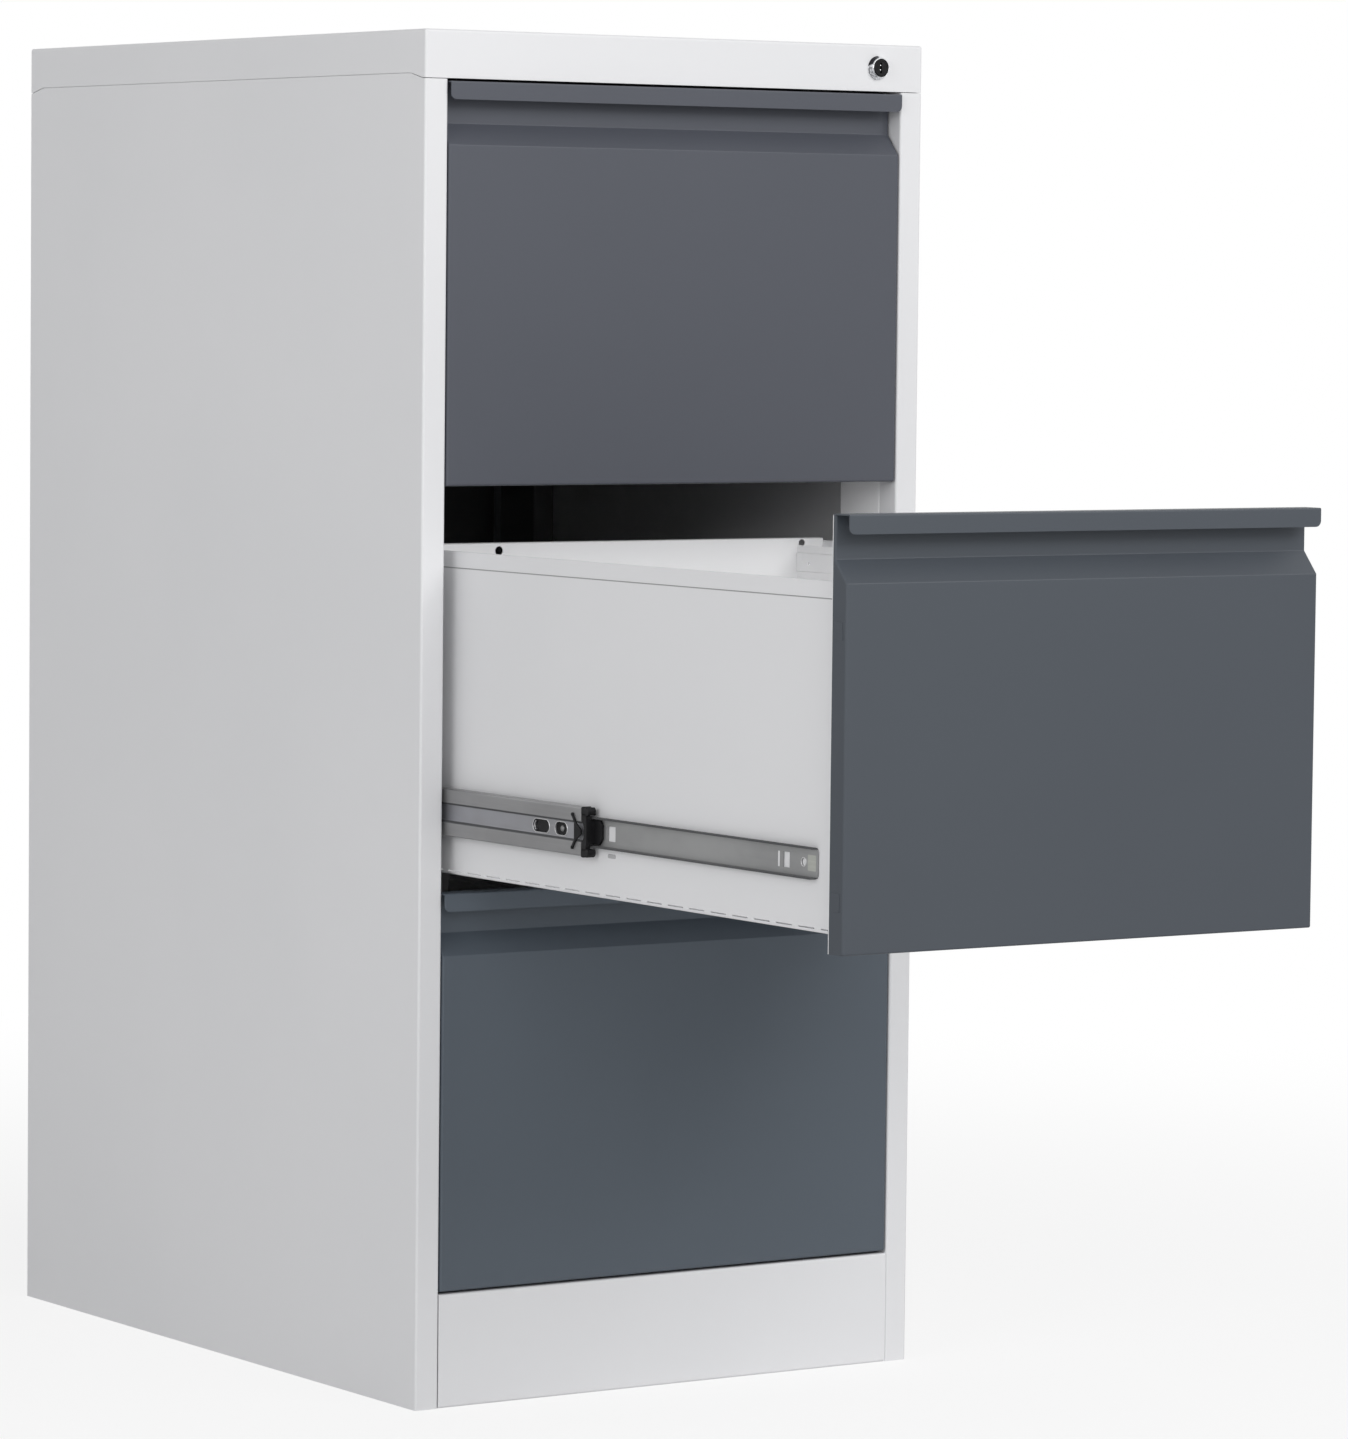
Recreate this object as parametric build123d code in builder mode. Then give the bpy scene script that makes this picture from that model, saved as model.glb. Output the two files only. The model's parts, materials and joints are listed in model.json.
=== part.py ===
from build123d import *
import math
import os

os.makedirs("parts", exist_ok=True)

# Three-drawer filing cabinet in folded steel sheet, sizes in millimetres.
# X runs to the right, Y to the back and Z up, from the middle of the cabinet's footprint on the floor.

# Casing
cabinet_width = 452.0
cabinet_depth = 620.0
cabinet_height = 1030.0
drawer_count = 3
sheet = 1.0
bend_radius = 2.0
seam = 0.5
stile_width = 20.0
stile_return = 21.5
rail_height = 36.0
rail_return = 24.5
skirt_height = 32.0
skirt_corner_run = 17.0
skirt_corner_inset = 4.0
joggle_overlap = 12.0
plinth_height = 86.0
plinth_return = 25.0
plinth_lip = 12.0
plinth_side_gap = 0.2
base_rear_flange = 50.0
back_panel_inset = 1.0

# Uprights
front_upright_depth = 54.0
rear_upright_depth = 54.0
rear_upright_setback = 40.0
upright_gap = 0.3

# Drawer fronts
front_gap = 2.0
front_side_gap = 1.0
front_depth = 16.0
lip_reach = 3.0
lip_height = 13.5
lip_corner_radius = 4.5
lip_bend_radius = 1.2
recess_depth = 14.0
recess_height = 31.0
slope_height = 16.0
rear_lip_drop = 12.0
inner_panel_inset = 0.1

# Drawer trays
tray_bottom_gap = 11.5
tray_top_drop = 46.5
tray_rear_gap = 18.0
hem_height = 12.0
hem_proud = 0.6
hem_thickness = 2.6
tray_tab = 12.0
back_panel_depth = 9.0
back_panel_rise = 2.0
back_panel_bend = 1.5
back_panel_side_gap = 0.1
back_hole_radius = 3.5
back_hole_offset = 110.0
back_hole_drop = 6.0

# Hanging-file rails
rail_spacing = 336.0
rail_strip_height = 28.0
rail_top_below_rim = 3.5
rail_rib = 0.9
rail_sheet = 1.2
rail_hole_radius = 1.2
rail_hole_from_back = 17.0
rail_steps = [(0, 0), (6, 0), (6.7, 1), (19.5, 1), (20.2, 0), (25.6, 0), (rail_strip_height, 1)]
rail_end_hole_radius = 3.0
rail_end_hole_place = (3.0, -1.5)
rail_slot_width = 2.0
rail_slot_inset = 1.2
rail_slots = [(8.0, 2.4), (17.0, 4.0)]

# Slides: distances across the slide are measured outwards from the tray wall
slide_thickness = 12.7
slide_front_setback = 45.0
slide_rear_gap = 28.0
slide_centre_above_front = 59.0
slide_sheet = 1.2
outer_member_height = 45.7
outer_member_flange = 7.7
outer_screw_radius = 2.6
middle_member_height = 35.3
middle_member_top = 10.0
middle_web_recess = 2.2
middle_web_height = 12.0
middle_web_slope = 1.2
middle_flange_start = 2.5
middle_front_setback = 27.0
detent_hole_length = 16.0
detent_hole_from_front = 30.0
detent_slot_length = 22.0
detent_slot_from_front = 57.0
detent_hole_height = 9.4
inner_member_height = 22.0
inner_member_flange = 5.0
inner_corner_radius = 4.0
inner_screw_radius = 2.6
inner_screw_from_front = 17.0
hook_window_height = 11.0
hook_windows = [(37.7, 8.0), (46.8, 1.6), (258.0, 10.0)]
ball_row_count = 7
outer_cage_length = 265.0
inner_cage_length = 240.0
cage_sheet = 0.6
outer_ball_play = 0.35
inner_ball_play = 0.425
outer_cage_web = 10.4
outer_cage_strip_start = 6.0
outer_cage_front = 140.0
inner_cage_front = 167.0
inner_cage_web = 5.5
inner_cage_strip_start = 1.0
pocket_gap = 0.25
outer_ball_place = 7.6
inner_ball_place = 3.0
cage_bend_radius = 0.7

# Plastic end stop on the middle member
stop_length = 18.0
stop_lug_gap = 1.3
stop_proud = 0.85
stop_start = 1.0
stop_top = 11.0
stop_bridge_start = 6.4
stop_bridge_front = 4.0
stop_bridge_rear = 3.5
detent_arm_width = 2.0
detent_reach = 9.0
detent_half_height = 12.0
detent_tip_half_height = 2.5
detent_clearance = 0.1

# Lock
lock_from_side = 42.5
lock_bezel_radius = 9.25
lock_bezel_front_radius = 7.5
lock_bezel_proud = 5.0
lock_barrel_radius = 8.0
lock_barrel_length = 24.0
lock_plug_radius = 6.6
lock_plug_gap = 0.3
lock_fit = 0.05
lock_nut_width = 22.0
lock_nut_thickness = 4.0
lock_tail = 6.0
lock_tail_length = 10.0
keyway_width = 1.8
keyway_height = 8.0
keyway_depth = 9.0
cam_thickness = 2.0
cam_throw = 14.0
cam_pin_radius = 2.0
cam_pin_length = 8.5
cam_width = 10.0
cam_rest_angle = 45.0
bar_thickness = 2.0
bar_width = 24.0
bar_from_upright = 1.0
bar_front_gap = 3.0
bar_slot_play = 1.0
bar_arm_wall = 3.0
bar_arm_setback = 15.5
catch_reach = 12.0
catch_thickness = 3.0
catch_height = 16.0
catch_above_front = 140.0
striker_lift = 4.0
striker_play = 3.0
striker_length = 34.0
striker_tooth = 6.7
guide_height = 20.0
guide_above_front = 226.0
guide_play = 0.8

# How far the middle drawer stands short of full extension
middle_drawer_short_of_full = 31.0
open_drawer = 1

# Places worked out from the sizes above
half_width = cabinet_width / 2
front_y = -cabinet_depth / 2
back_y = cabinet_depth / 2
opening_half = half_width - stile_width
rail_bottom = cabinet_height - rail_height
skirt_bottom = cabinet_height - skirt_height
front_height = (rail_bottom - plinth_height - front_gap * (drawer_count + 1)) / drawer_count
drawer_pitch = front_height + front_gap
front_half = opening_half - front_side_gap
front_back_y = front_y + front_depth
tray_half = opening_half - slide_thickness
tray_front_y = front_back_y + sheet
tray_back_y = back_y - tray_rear_gap
tray_height = front_height - tray_bottom_gap - tray_top_drop
drawer_back_y = tray_back_y - back_panel_depth
slide_front_y = front_y + slide_front_setback
slide_back_y = back_y - slide_rear_gap
slide_length = slide_back_y - slide_front_y
middle_front_y = slide_front_y + middle_front_setback
travel = slide_length
front_upright_y = front_y + stile_return + upright_gap
upright_top = skirt_bottom - joggle_overlap
bar_x = opening_half + sheet + bar_from_upright
bar_front_y = front_upright_y + sheet + bar_front_gap
striker_y = bar_front_y + catch_thickness + striker_play
lock_x = half_width - lock_from_side
lock_z = cabinet_height - rail_height / 2
bar_lift = 2 * cam_throw * math.sin(math.radians(cam_rest_angle))
bar_arm_y = bar_front_y + bar_arm_setback
drawer_bases = [plinth_height + front_gap + n * drawer_pitch for n in range(drawer_count)]
drawer_names = ["bottom", "middle", "top"]
drawer_shifts = [0.0] * drawer_count
drawer_shifts[open_drawer] = -(travel - middle_drawer_short_of_full)


def front_plane(y):
    """Plane facing the front at y, so that an extrusion from it runs towards the front."""
    return Plane.XZ.offset(-y)


def folded(corners, side, radius=bend_radius, thickness=sheet):
    """Section of a folded sheet whose outer face follows the corners."""
    with BuildSketch() as section:
        with BuildLine():
            FilletPolyline(*corners, radius=radius)
            offset(amount=thickness, side=side)
        make_face()
    return section.sketch


def save(part, name):
    """Label a finished piece and write it to its own file."""
    part.label = name
    export_step(part, "parts/" + name + ".step")


def box_between(low, high, mode=Mode.ADD):
    """Box from its lowest to its highest corner, in the part that is being built."""
    centre = [(a + b) / 2 for a, b in zip(low, high)]
    with Locations(tuple(centre)):
        Box(*[b - a for a, b in zip(low, high)], mode=mode)


# Side panels: skin, stile with its return, rear flange, bottom flange and the joggle behind the cap
side_section = folded(
    [
        (-opening_half, front_y + stile_return),
        (-opening_half, front_y),
        (-half_width, front_y),
        (-half_width, back_y),
        (-opening_half, back_y),
    ],
    Side.RIGHT,
)
seam_corner_front = front_y + skirt_corner_inset
seam_run_front = seam_corner_front + skirt_corner_run
seam_corner_back = back_y - skirt_corner_inset
seam_run_back = seam_corner_back - skirt_corner_run
with BuildPart() as left_side_panel:
    with BuildSketch(Plane.XY):
        add(side_section)
    extrude(amount=skirt_bottom)
    with BuildSketch(Plane.YZ.offset(-half_width - sheet)):
        with BuildLine():
            Polyline(
                (front_y - sheet, rail_bottom - seam),
                (seam_corner_front, rail_bottom - seam),
                (seam_run_front, skirt_bottom - seam),
                (seam_run_back, skirt_bottom - seam),
                (seam_corner_back, rail_bottom - seam),
                (back_y + sheet, rail_bottom - seam),
                (back_y + sheet, cabinet_height),
                (front_y - sheet, cabinet_height),
                close=True,
            )
        make_face()
    extrude(amount=stile_width + 2 * sheet, mode=Mode.SUBTRACT)
    box_between(
        (-half_width + sheet, seam_run_front, skirt_bottom - joggle_overlap),
        (-half_width + 2 * sheet, seam_run_back, skirt_bottom + joggle_overlap),
    )
    box_between(
        (-half_width + sheet, front_y + sheet, 0),
        (-opening_half, back_y - sheet, sheet),
    )
with BuildPart() as right_side_panel:
    mirror(left_side_panel.part, about=Plane.YZ)
save(left_side_panel.part, "left_side_panel")
save(right_side_panel.part, "right_side_panel")

# Top cap: a tray turned upside down, deeper at the front for the rail that carries the lock
with BuildPart() as top_cap:
    box_between((-half_width, front_y, rail_bottom), (half_width, back_y, cabinet_height))
    fillet(top_cap.edges().filter_by(Axis.Z), bend_radius)
    fillet(top_cap.edges().group_by(Axis.Z)[-1], bend_radius)
    offset(amount=-sheet, openings=top_cap.faces().sort_by(Axis.Z)[0])
    with BuildSketch(Plane.YZ.offset(-half_width - sheet)):
        with BuildLine():
            Polyline(
                (seam_corner_front, rail_bottom - sheet),
                (seam_corner_front, rail_bottom),
                (seam_run_front, skirt_bottom),
                (seam_run_back, skirt_bottom),
                (seam_corner_back, rail_bottom),
                (seam_corner_back, rail_bottom - sheet),
                close=True,
            )
        make_face()
    extrude(amount=cabinet_width + 2 * sheet, mode=Mode.SUBTRACT)
    box_between(
        (-front_half, front_y + sheet / 2, rail_bottom),
        (front_half, front_y + rail_return, rail_bottom + sheet),
    )
    with BuildSketch(front_plane(front_y + rail_return / 2)):
        with Locations((lock_x, lock_z)):
            Circle(lock_barrel_radius + lock_fit)
    extrude(amount=rail_return, mode=Mode.SUBTRACT)
save(top_cap.part, "top_cap")

# Plinth between the stiles, flush with them
with BuildPart() as plinth:
    with BuildSketch(Plane.YZ.offset(-opening_half + plinth_side_gap)):
        add(
            folded(
                [
                    (front_y + plinth_return, plinth_height - plinth_lip),
                    (front_y + plinth_return, plinth_height),
                    (front_y, plinth_height),
                    (front_y, 0),
                    (front_y + plinth_return, 0),
                ],
                Side.LEFT,
            )
        )
    extrude(amount=2 * (opening_half - plinth_side_gap))
save(plinth.part, "plinth")

# Base panel that the cabinet stands on, with its rear edge turned up inside the back panel
base_back_y = back_y - back_panel_inset - sheet
with BuildPart() as base_panel:
    with BuildSketch(Plane.YZ.offset(-opening_half + plinth_side_gap)):
        add(
            folded(
                [
                    (front_y + plinth_return + upright_gap, 0),
                    (base_back_y, 0),
                    (base_back_y, base_rear_flange),
                ],
                Side.LEFT,
            )
        )
    extrude(amount=2 * (opening_half - plinth_side_gap))
save(base_panel.part, "base_panel")

# Back panel, standing on the bottom flanges inside the rear flanges
back_panel_half = half_width - bend_radius - plinth_side_gap
with BuildPart() as back_panel:
    box_between(
        (-back_panel_half, base_back_y, sheet),
        (back_panel_half, back_y - back_panel_inset, cabinet_height - bend_radius - seam),
    )
save(back_panel.part, "back_panel")


def upright(front, depth):
    """Channel on the left side of the casing, whose web faces the drawers."""
    with BuildPart() as channel:
        with BuildSketch(Plane.XY.offset(sheet)):
            add(
                folded(
                    [
                        (-half_width + sheet, front),
                        (-opening_half, front),
                        (-opening_half, front + depth),
                        (-half_width + sheet, front + depth),
                    ],
                    Side.LEFT,
                )
            )
        extrude(amount=upright_top - sheet)
    return channel.part


front_channel = upright(front_upright_y, front_upright_depth)
rear_channel = upright(slide_back_y - rear_upright_setback - rear_upright_depth / 2, rear_upright_depth)
save(front_channel, "front_left_upright")
with BuildPart() as rear_uprights:
    add(rear_channel)
    mirror(rear_channel, about=Plane.YZ)
save(rear_uprights.part, "rear_uprights")

# The front right upright has a slot for each catch of the lock bar
with BuildPart() as front_right_upright:
    mirror(front_channel, about=Plane.YZ)
    for base in drawer_bases:
        box_between(
            (opening_half - sheet, bar_front_y - bar_front_gap / 2, base + catch_above_front - striker_lift),
            (
                opening_half + 2 * sheet,
                bar_front_y + catch_thickness + bar_front_gap,
                base + catch_above_front + catch_height + bar_lift + striker_lift,
            ),
            mode=Mode.SUBTRACT,
        )
save(front_right_upright.part, "front_right_upright")

# Lock housing: tapered bezel in front of the rail and a barrel through it
with BuildPart() as lock_housing:
    with BuildSketch(front_plane(front_y)):
        with Locations((lock_x, lock_z)):
            Circle(lock_bezel_radius)
    with BuildSketch(front_plane(front_y - lock_bezel_proud)):
        with Locations((lock_x, lock_z)):
            Circle(lock_bezel_front_radius)
    loft()
    with BuildSketch(front_plane(front_y + lock_barrel_length)):
        with Locations((lock_x, lock_z)):
            Circle(lock_barrel_radius)
    extrude(amount=lock_barrel_length)
    with BuildSketch(front_plane(front_y + lock_barrel_length)):
        with Locations((lock_x, lock_z)):
            Circle(lock_plug_radius + lock_plug_gap)
    extrude(amount=lock_barrel_length + lock_bezel_proud, mode=Mode.SUBTRACT)
save(lock_housing.part, "lock_housing")

with BuildPart() as lock_nut:
    with BuildSketch(front_plane(front_y + sheet + lock_nut_thickness)):
        with Locations((lock_x, lock_z)):
            RegularPolygon(lock_nut_width / 2, 6, major_radius=False)
            Circle(lock_barrel_radius + lock_fit, mode=Mode.SUBTRACT)
    extrude(amount=lock_nut_thickness)
save(lock_nut.part, "lock_nut")

# Plug with its keyway in front and a square tail behind, which carries the cam
plug_front_y = front_y - lock_bezel_proud + seam
plug_back_y = front_y + lock_barrel_length + seam
cam_front_y = plug_back_y + lock_tail_length - 2 * cam_thickness
with BuildPart() as lock_plug:
    with BuildSketch(front_plane(plug_back_y)):
        with Locations((lock_x, lock_z)):
            Circle(lock_plug_radius)
    extrude(amount=plug_back_y - plug_front_y)
    box_between(
        (lock_x - lock_tail / 2, plug_back_y, lock_z - lock_tail / 2),
        (lock_x + lock_tail / 2, cam_front_y + cam_thickness, lock_z + lock_tail / 2),
    )
    box_between(
        (lock_x - keyway_width / 2, plug_front_y, lock_z - keyway_height / 2),
        (lock_x + keyway_width / 2, plug_front_y + keyway_depth, lock_z + keyway_height / 2),
        mode=Mode.SUBTRACT,
    )
save(lock_plug.part, "lock_plug")

# Cam on the plug's tail: at rest its arm points down to the right, half a quarter turn below level
cam_hole = lock_tail + 2 * lock_fit
with BuildPart() as lock_cam:
    with BuildSketch(front_plane(cam_front_y + cam_thickness)):
        with Locations(Location((lock_x, lock_z), -cam_rest_angle)):
            SlotCenterPoint((cam_throw / 2, 0), (cam_throw, 0), cam_width)
            Rectangle(cam_hole, cam_hole, rotation=cam_rest_angle, mode=Mode.SUBTRACT)
    extrude(amount=cam_thickness)
    with BuildSketch(front_plane(cam_front_y + cam_thickness + cam_pin_length)):
        with Locations(Location((lock_x, lock_z), -cam_rest_angle)):
            with Locations((cam_throw, 0)):
                Circle(cam_pin_radius)
    extrude(amount=cam_pin_length)
save(lock_cam.part, "lock_cam")

# Lock bar: a flat strip in the right upright, with an arm that the cam's pin lifts and one catch a drawer
# welded to it
slot_height = 2 * (cam_pin_radius + bar_slot_play)
arm_z = lock_z - bar_lift / 2
arm_half = slot_height / 2 + bar_arm_wall
slot_left = lock_x + cam_throw * math.cos(math.radians(cam_rest_angle)) - cam_pin_radius - bar_slot_play
slot_right = lock_x + cam_throw + cam_pin_radius + bar_slot_play
with BuildPart() as lock_bar:
    box_between(
        (bar_x, bar_front_y, drawer_bases[0] + catch_above_front - guide_height),
        (bar_x + bar_thickness, bar_front_y + bar_width, arm_z + arm_half),
    )
    box_between(
        (slot_left - bar_arm_wall, bar_arm_y, arm_z - arm_half),
        (bar_x - lock_fit, bar_arm_y + bar_thickness, arm_z + arm_half),
    )
    box_between(
        (slot_left, bar_arm_y - bar_thickness, arm_z - slot_height / 2),
        (slot_right, bar_arm_y + 2 * bar_thickness, arm_z + slot_height / 2),
        mode=Mode.SUBTRACT,
    )
    for base in drawer_bases:
        box_between(
            (bar_x - catch_reach, bar_front_y, base + catch_above_front),
            (bar_x - lock_fit, bar_front_y + catch_thickness, base + catch_above_front + catch_height),
        )
save(lock_bar.part, "lock_bar")

# Guides: small straps on the upright's inner face that hold the bar
guide_back_y = bar_front_y + bar_width + guide_play
guide_front_y = bar_front_y - guide_play
with BuildPart() as lock_bar_guides:
    for base in drawer_bases:
        with BuildSketch(Plane.XY.offset(base + guide_above_front)):
            with BuildLine():
                Polyline(
                    (opening_half + sheet, guide_front_y),
                    (bar_x + bar_thickness + guide_play, guide_front_y),
                    (bar_x + bar_thickness + guide_play, guide_back_y),
                    (opening_half + sheet, guide_back_y),
                )
                offset(amount=sheet, side=Side.RIGHT)
            make_face()
        extrude(amount=guide_height)
save(lock_bar_guides.part, "lock_bar_guides")


def across(distance):
    """Place on the left slide that far outwards from the tray wall."""
    return -tray_half - distance


def slide_channel(corners, front, rear, centre, side, radius):
    """Left slide member: a folded section that runs from its rear end to its front end."""
    section = folded([(across(t), centre + z) for t, z in corners], side, radius, slide_sheet)
    with BuildPart() as member:
        with BuildSketch(front_plane(rear)):
            add(section)
        extrude(amount=rear - front)
    return member.part


def outer_member(centre):
    """Cabinet member of the left slide, screwed to the uprights."""
    half = outer_member_height / 2
    start = slide_thickness - outer_member_flange
    corners = [(start, half), (slide_thickness, half), (slide_thickness, -half), (start, -half)]
    channel = slide_channel(corners, slide_front_y, slide_back_y, centre, Side.LEFT, bend_radius)
    screws = [front_upright_y + front_upright_depth / 2 + slide_sheet, slide_back_y - rear_upright_setback]
    with BuildPart() as member:
        add(channel)
        with BuildSketch(Plane.YZ.offset(across(slide_thickness + sheet))):
            with Locations(*[(y, centre) for y in screws]):
                Circle(outer_screw_radius)
        extrude(amount=2 * sheet + slide_sheet, mode=Mode.SUBTRACT)
    return member.part


def middle_member(centre, shift):
    """Middle member of the left slide, with the slots for its detent."""
    half = middle_member_height / 2
    web = middle_member_top - middle_web_recess
    flat = middle_web_height / 2
    step = flat + middle_web_slope
    corners = [
        (middle_flange_start, half),
        (middle_member_top, half),
        (middle_member_top, step),
        (web, flat),
        (web, -flat),
        (middle_member_top, -step),
        (middle_member_top, -half),
        (middle_flange_start, -half),
    ]
    front = middle_front_y + shift
    channel = slide_channel(corners, front, slide_back_y + shift, centre, Side.LEFT, slide_sheet)
    with BuildPart() as member:
        add(channel)
        with BuildSketch(Plane.YZ.offset(across(slide_thickness))):
            with Locations((front + detent_hole_from_front, centre)):
                SlotOverall(detent_hole_length, detent_hole_height)
            with Locations((front + detent_slot_from_front, centre)):
                SlotOverall(detent_slot_length, detent_hole_height)
        extrude(amount=slide_thickness - middle_flange_start, mode=Mode.SUBTRACT)
    return member.part


def inner_member(centre, shift):
    """Drawer member of the left slide, hooked on the tray wall through its windows."""
    half = inner_member_height / 2
    corners = [(inner_member_flange, half), (0, half), (0, -half), (inner_member_flange, -half)]
    front = slide_front_y + shift
    rear = slide_back_y + shift
    channel = slide_channel(corners, front, rear, centre, Side.RIGHT, slide_sheet)
    with BuildPart() as member:
        add(channel)
        with BuildSketch(Plane.YZ.offset(across(slide_thickness))):
            with Locations(((front + rear) / 2, centre)):
                RectangleRounded(rear - front, inner_member_height, inner_corner_radius)
        extrude(amount=slide_thickness, mode=Mode.INTERSECT)
        with BuildSketch(Plane.YZ.offset(across(slide_thickness))):
            with Locations((front + inner_screw_from_front, centre)):
                Circle(inner_screw_radius)
            for from_front, width in hook_windows:
                with Locations((front + from_front, centre)):
                    Rectangle(width, hook_window_height)
        extrude(amount=slide_thickness, mode=Mode.SUBTRACT)
    return member.part


def ball_cage(centre, front, length, web, start, strip_z, ball_t, ball_z, radius):
    """Left ball cage: a thin channel with a pocket for each ball, and the balls loose in them."""
    pitch = length / ball_row_count
    places = [front + pitch * (n + 0.5) for n in range(ball_row_count)]
    section = folded(
        [
            (across(start), centre + strip_z),
            (across(web + cage_sheet), centre + strip_z),
            (across(web + cage_sheet), centre - strip_z),
            (across(start), centre - strip_z),
        ],
        Side.LEFT,
        cage_bend_radius,
        cage_sheet,
    )
    with BuildPart() as cage:
        with BuildSketch(front_plane(front + length)):
            add(section)
        extrude(amount=length)
        for y in places:
            box_between(
                (across(ball_t + radius + pocket_gap), y - radius - pocket_gap, centre - strip_z - sheet),
                (across(start - sheet), y + radius + pocket_gap, centre + strip_z + sheet),
                mode=Mode.SUBTRACT,
            )
    with BuildPart() as balls:
        with Locations(*[(across(ball_t), y, centre + s * ball_z) for y in places for s in (-1, 1)]):
            Sphere(radius)
    return cage.part, balls.part


def end_stop(centre, shift):
    """Black plastic stop on the front end of the left middle member, with its detent spring."""
    half = middle_member_height / 2 + stop_proud
    rear = middle_front_y + shift
    front = rear - stop_length
    lug = inner_member_height / 2 + stop_lug_gap
    with BuildPart() as stop:
        for low, high in ((lug, half), (-half, -lug)):
            box_between(
                (across(stop_top), front, centre + low),
                (across(stop_start), rear, centre + high),
            )
        fillet(stop.edges().filter_by(Axis.X), bend_radius)
        box_between(
            (across(stop_top), front + stop_bridge_front, centre - lug - sheet),
            (across(stop_bridge_start), rear - stop_bridge_rear, centre + lug + sheet),
        )
        with BuildSketch(Plane.YZ.offset(across(middle_member_top + detent_arm_width / 2))):
            with BuildLine():
                Polyline(
                    (rear - stop_bridge_rear - sheet, centre + detent_tip_half_height),
                    (rear - stop_bridge_rear - sheet, centre - detent_tip_half_height),
                    (rear, centre - detent_tip_half_height - sheet),
                    (rear + detent_reach, centre - detent_half_height),
                    (rear + detent_reach + detent_arm_width, centre - detent_half_height + sheet),
                    (rear + detent_arm_width, centre - detent_tip_half_height + sheet),
                    (rear + detent_arm_width, centre + detent_tip_half_height - sheet),
                    (rear + detent_reach + detent_arm_width, centre + detent_half_height - sheet),
                    (rear + detent_reach, centre + detent_half_height),
                    (rear, centre + detent_tip_half_height + sheet),
                    close=True,
                )
            make_face()
        extrude(amount=detent_arm_width / 2 - detent_clearance)
    return stop.part


def save_pair(left, name):
    """Write a left piece and its mirror image as two solids of one node."""
    with BuildPart() as pair:
        for piece in left:
            add(piece)
            mirror(piece, about=Plane.YZ)
    save(pair.part, name)


def save_sides(left, name):
    """Write a left piece and its mirror image as two nodes."""
    with BuildPart() as right:
        mirror(left, about=Plane.YZ)
    save(left, "left_" + name)
    save(right.part, "right_" + name)


def drawer_front(base, shift, name):
    """Grey front: a pan with a sloped top edge, and the channel that forms the pull lip above it."""
    top = base + front_height
    face_y = front_y + shift
    rear_y = front_back_y + shift
    wall_y = face_y + recess_depth
    with BuildPart() as pan:
        with BuildSketch(Plane.YZ.offset(-front_half)):
            with BuildLine():
                Polyline(
                    (face_y, base),
                    (face_y, top - recess_height - slope_height),
                    (wall_y, top - recess_height),
                    (wall_y, top),
                    (rear_y, top),
                    (rear_y, base),
                    close=True,
                )
            make_face()
        extrude(amount=2 * front_half)
        fillet(pan.edges().filter_by(Axis.Z).group_by(Axis.Y)[0], bend_radius)
        offset(amount=-sheet, openings=pan.faces().sort_by(Axis.Y)[-1])
    with BuildPart() as skin:
        with BuildSketch(Plane.YZ.offset(-front_half)):
            add(
                folded(
                    [
                        (face_y - lip_reach, top - lip_height),
                        (face_y - lip_reach, top),
                        (rear_y, top),
                        (rear_y, top - rear_lip_drop),
                    ],
                    Side.RIGHT,
                    radius=lip_bend_radius,
                )
            )
        extrude(amount=2 * front_half)
        fillet(skin.edges().filter_by(Axis.Y).group_by(Axis.Z)[0], lip_corner_radius)
        add(pan.part)
    save(skin.part, name + "_drawer_front")
    with BuildPart() as inner:
        box_between(
            (-front_half + inner_panel_inset, rear_y, base + inner_panel_inset),
            (front_half - inner_panel_inset, rear_y + sheet, top - sheet),
        )
    save(inner.part, name + "_drawer_front_inner_panel")


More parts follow.
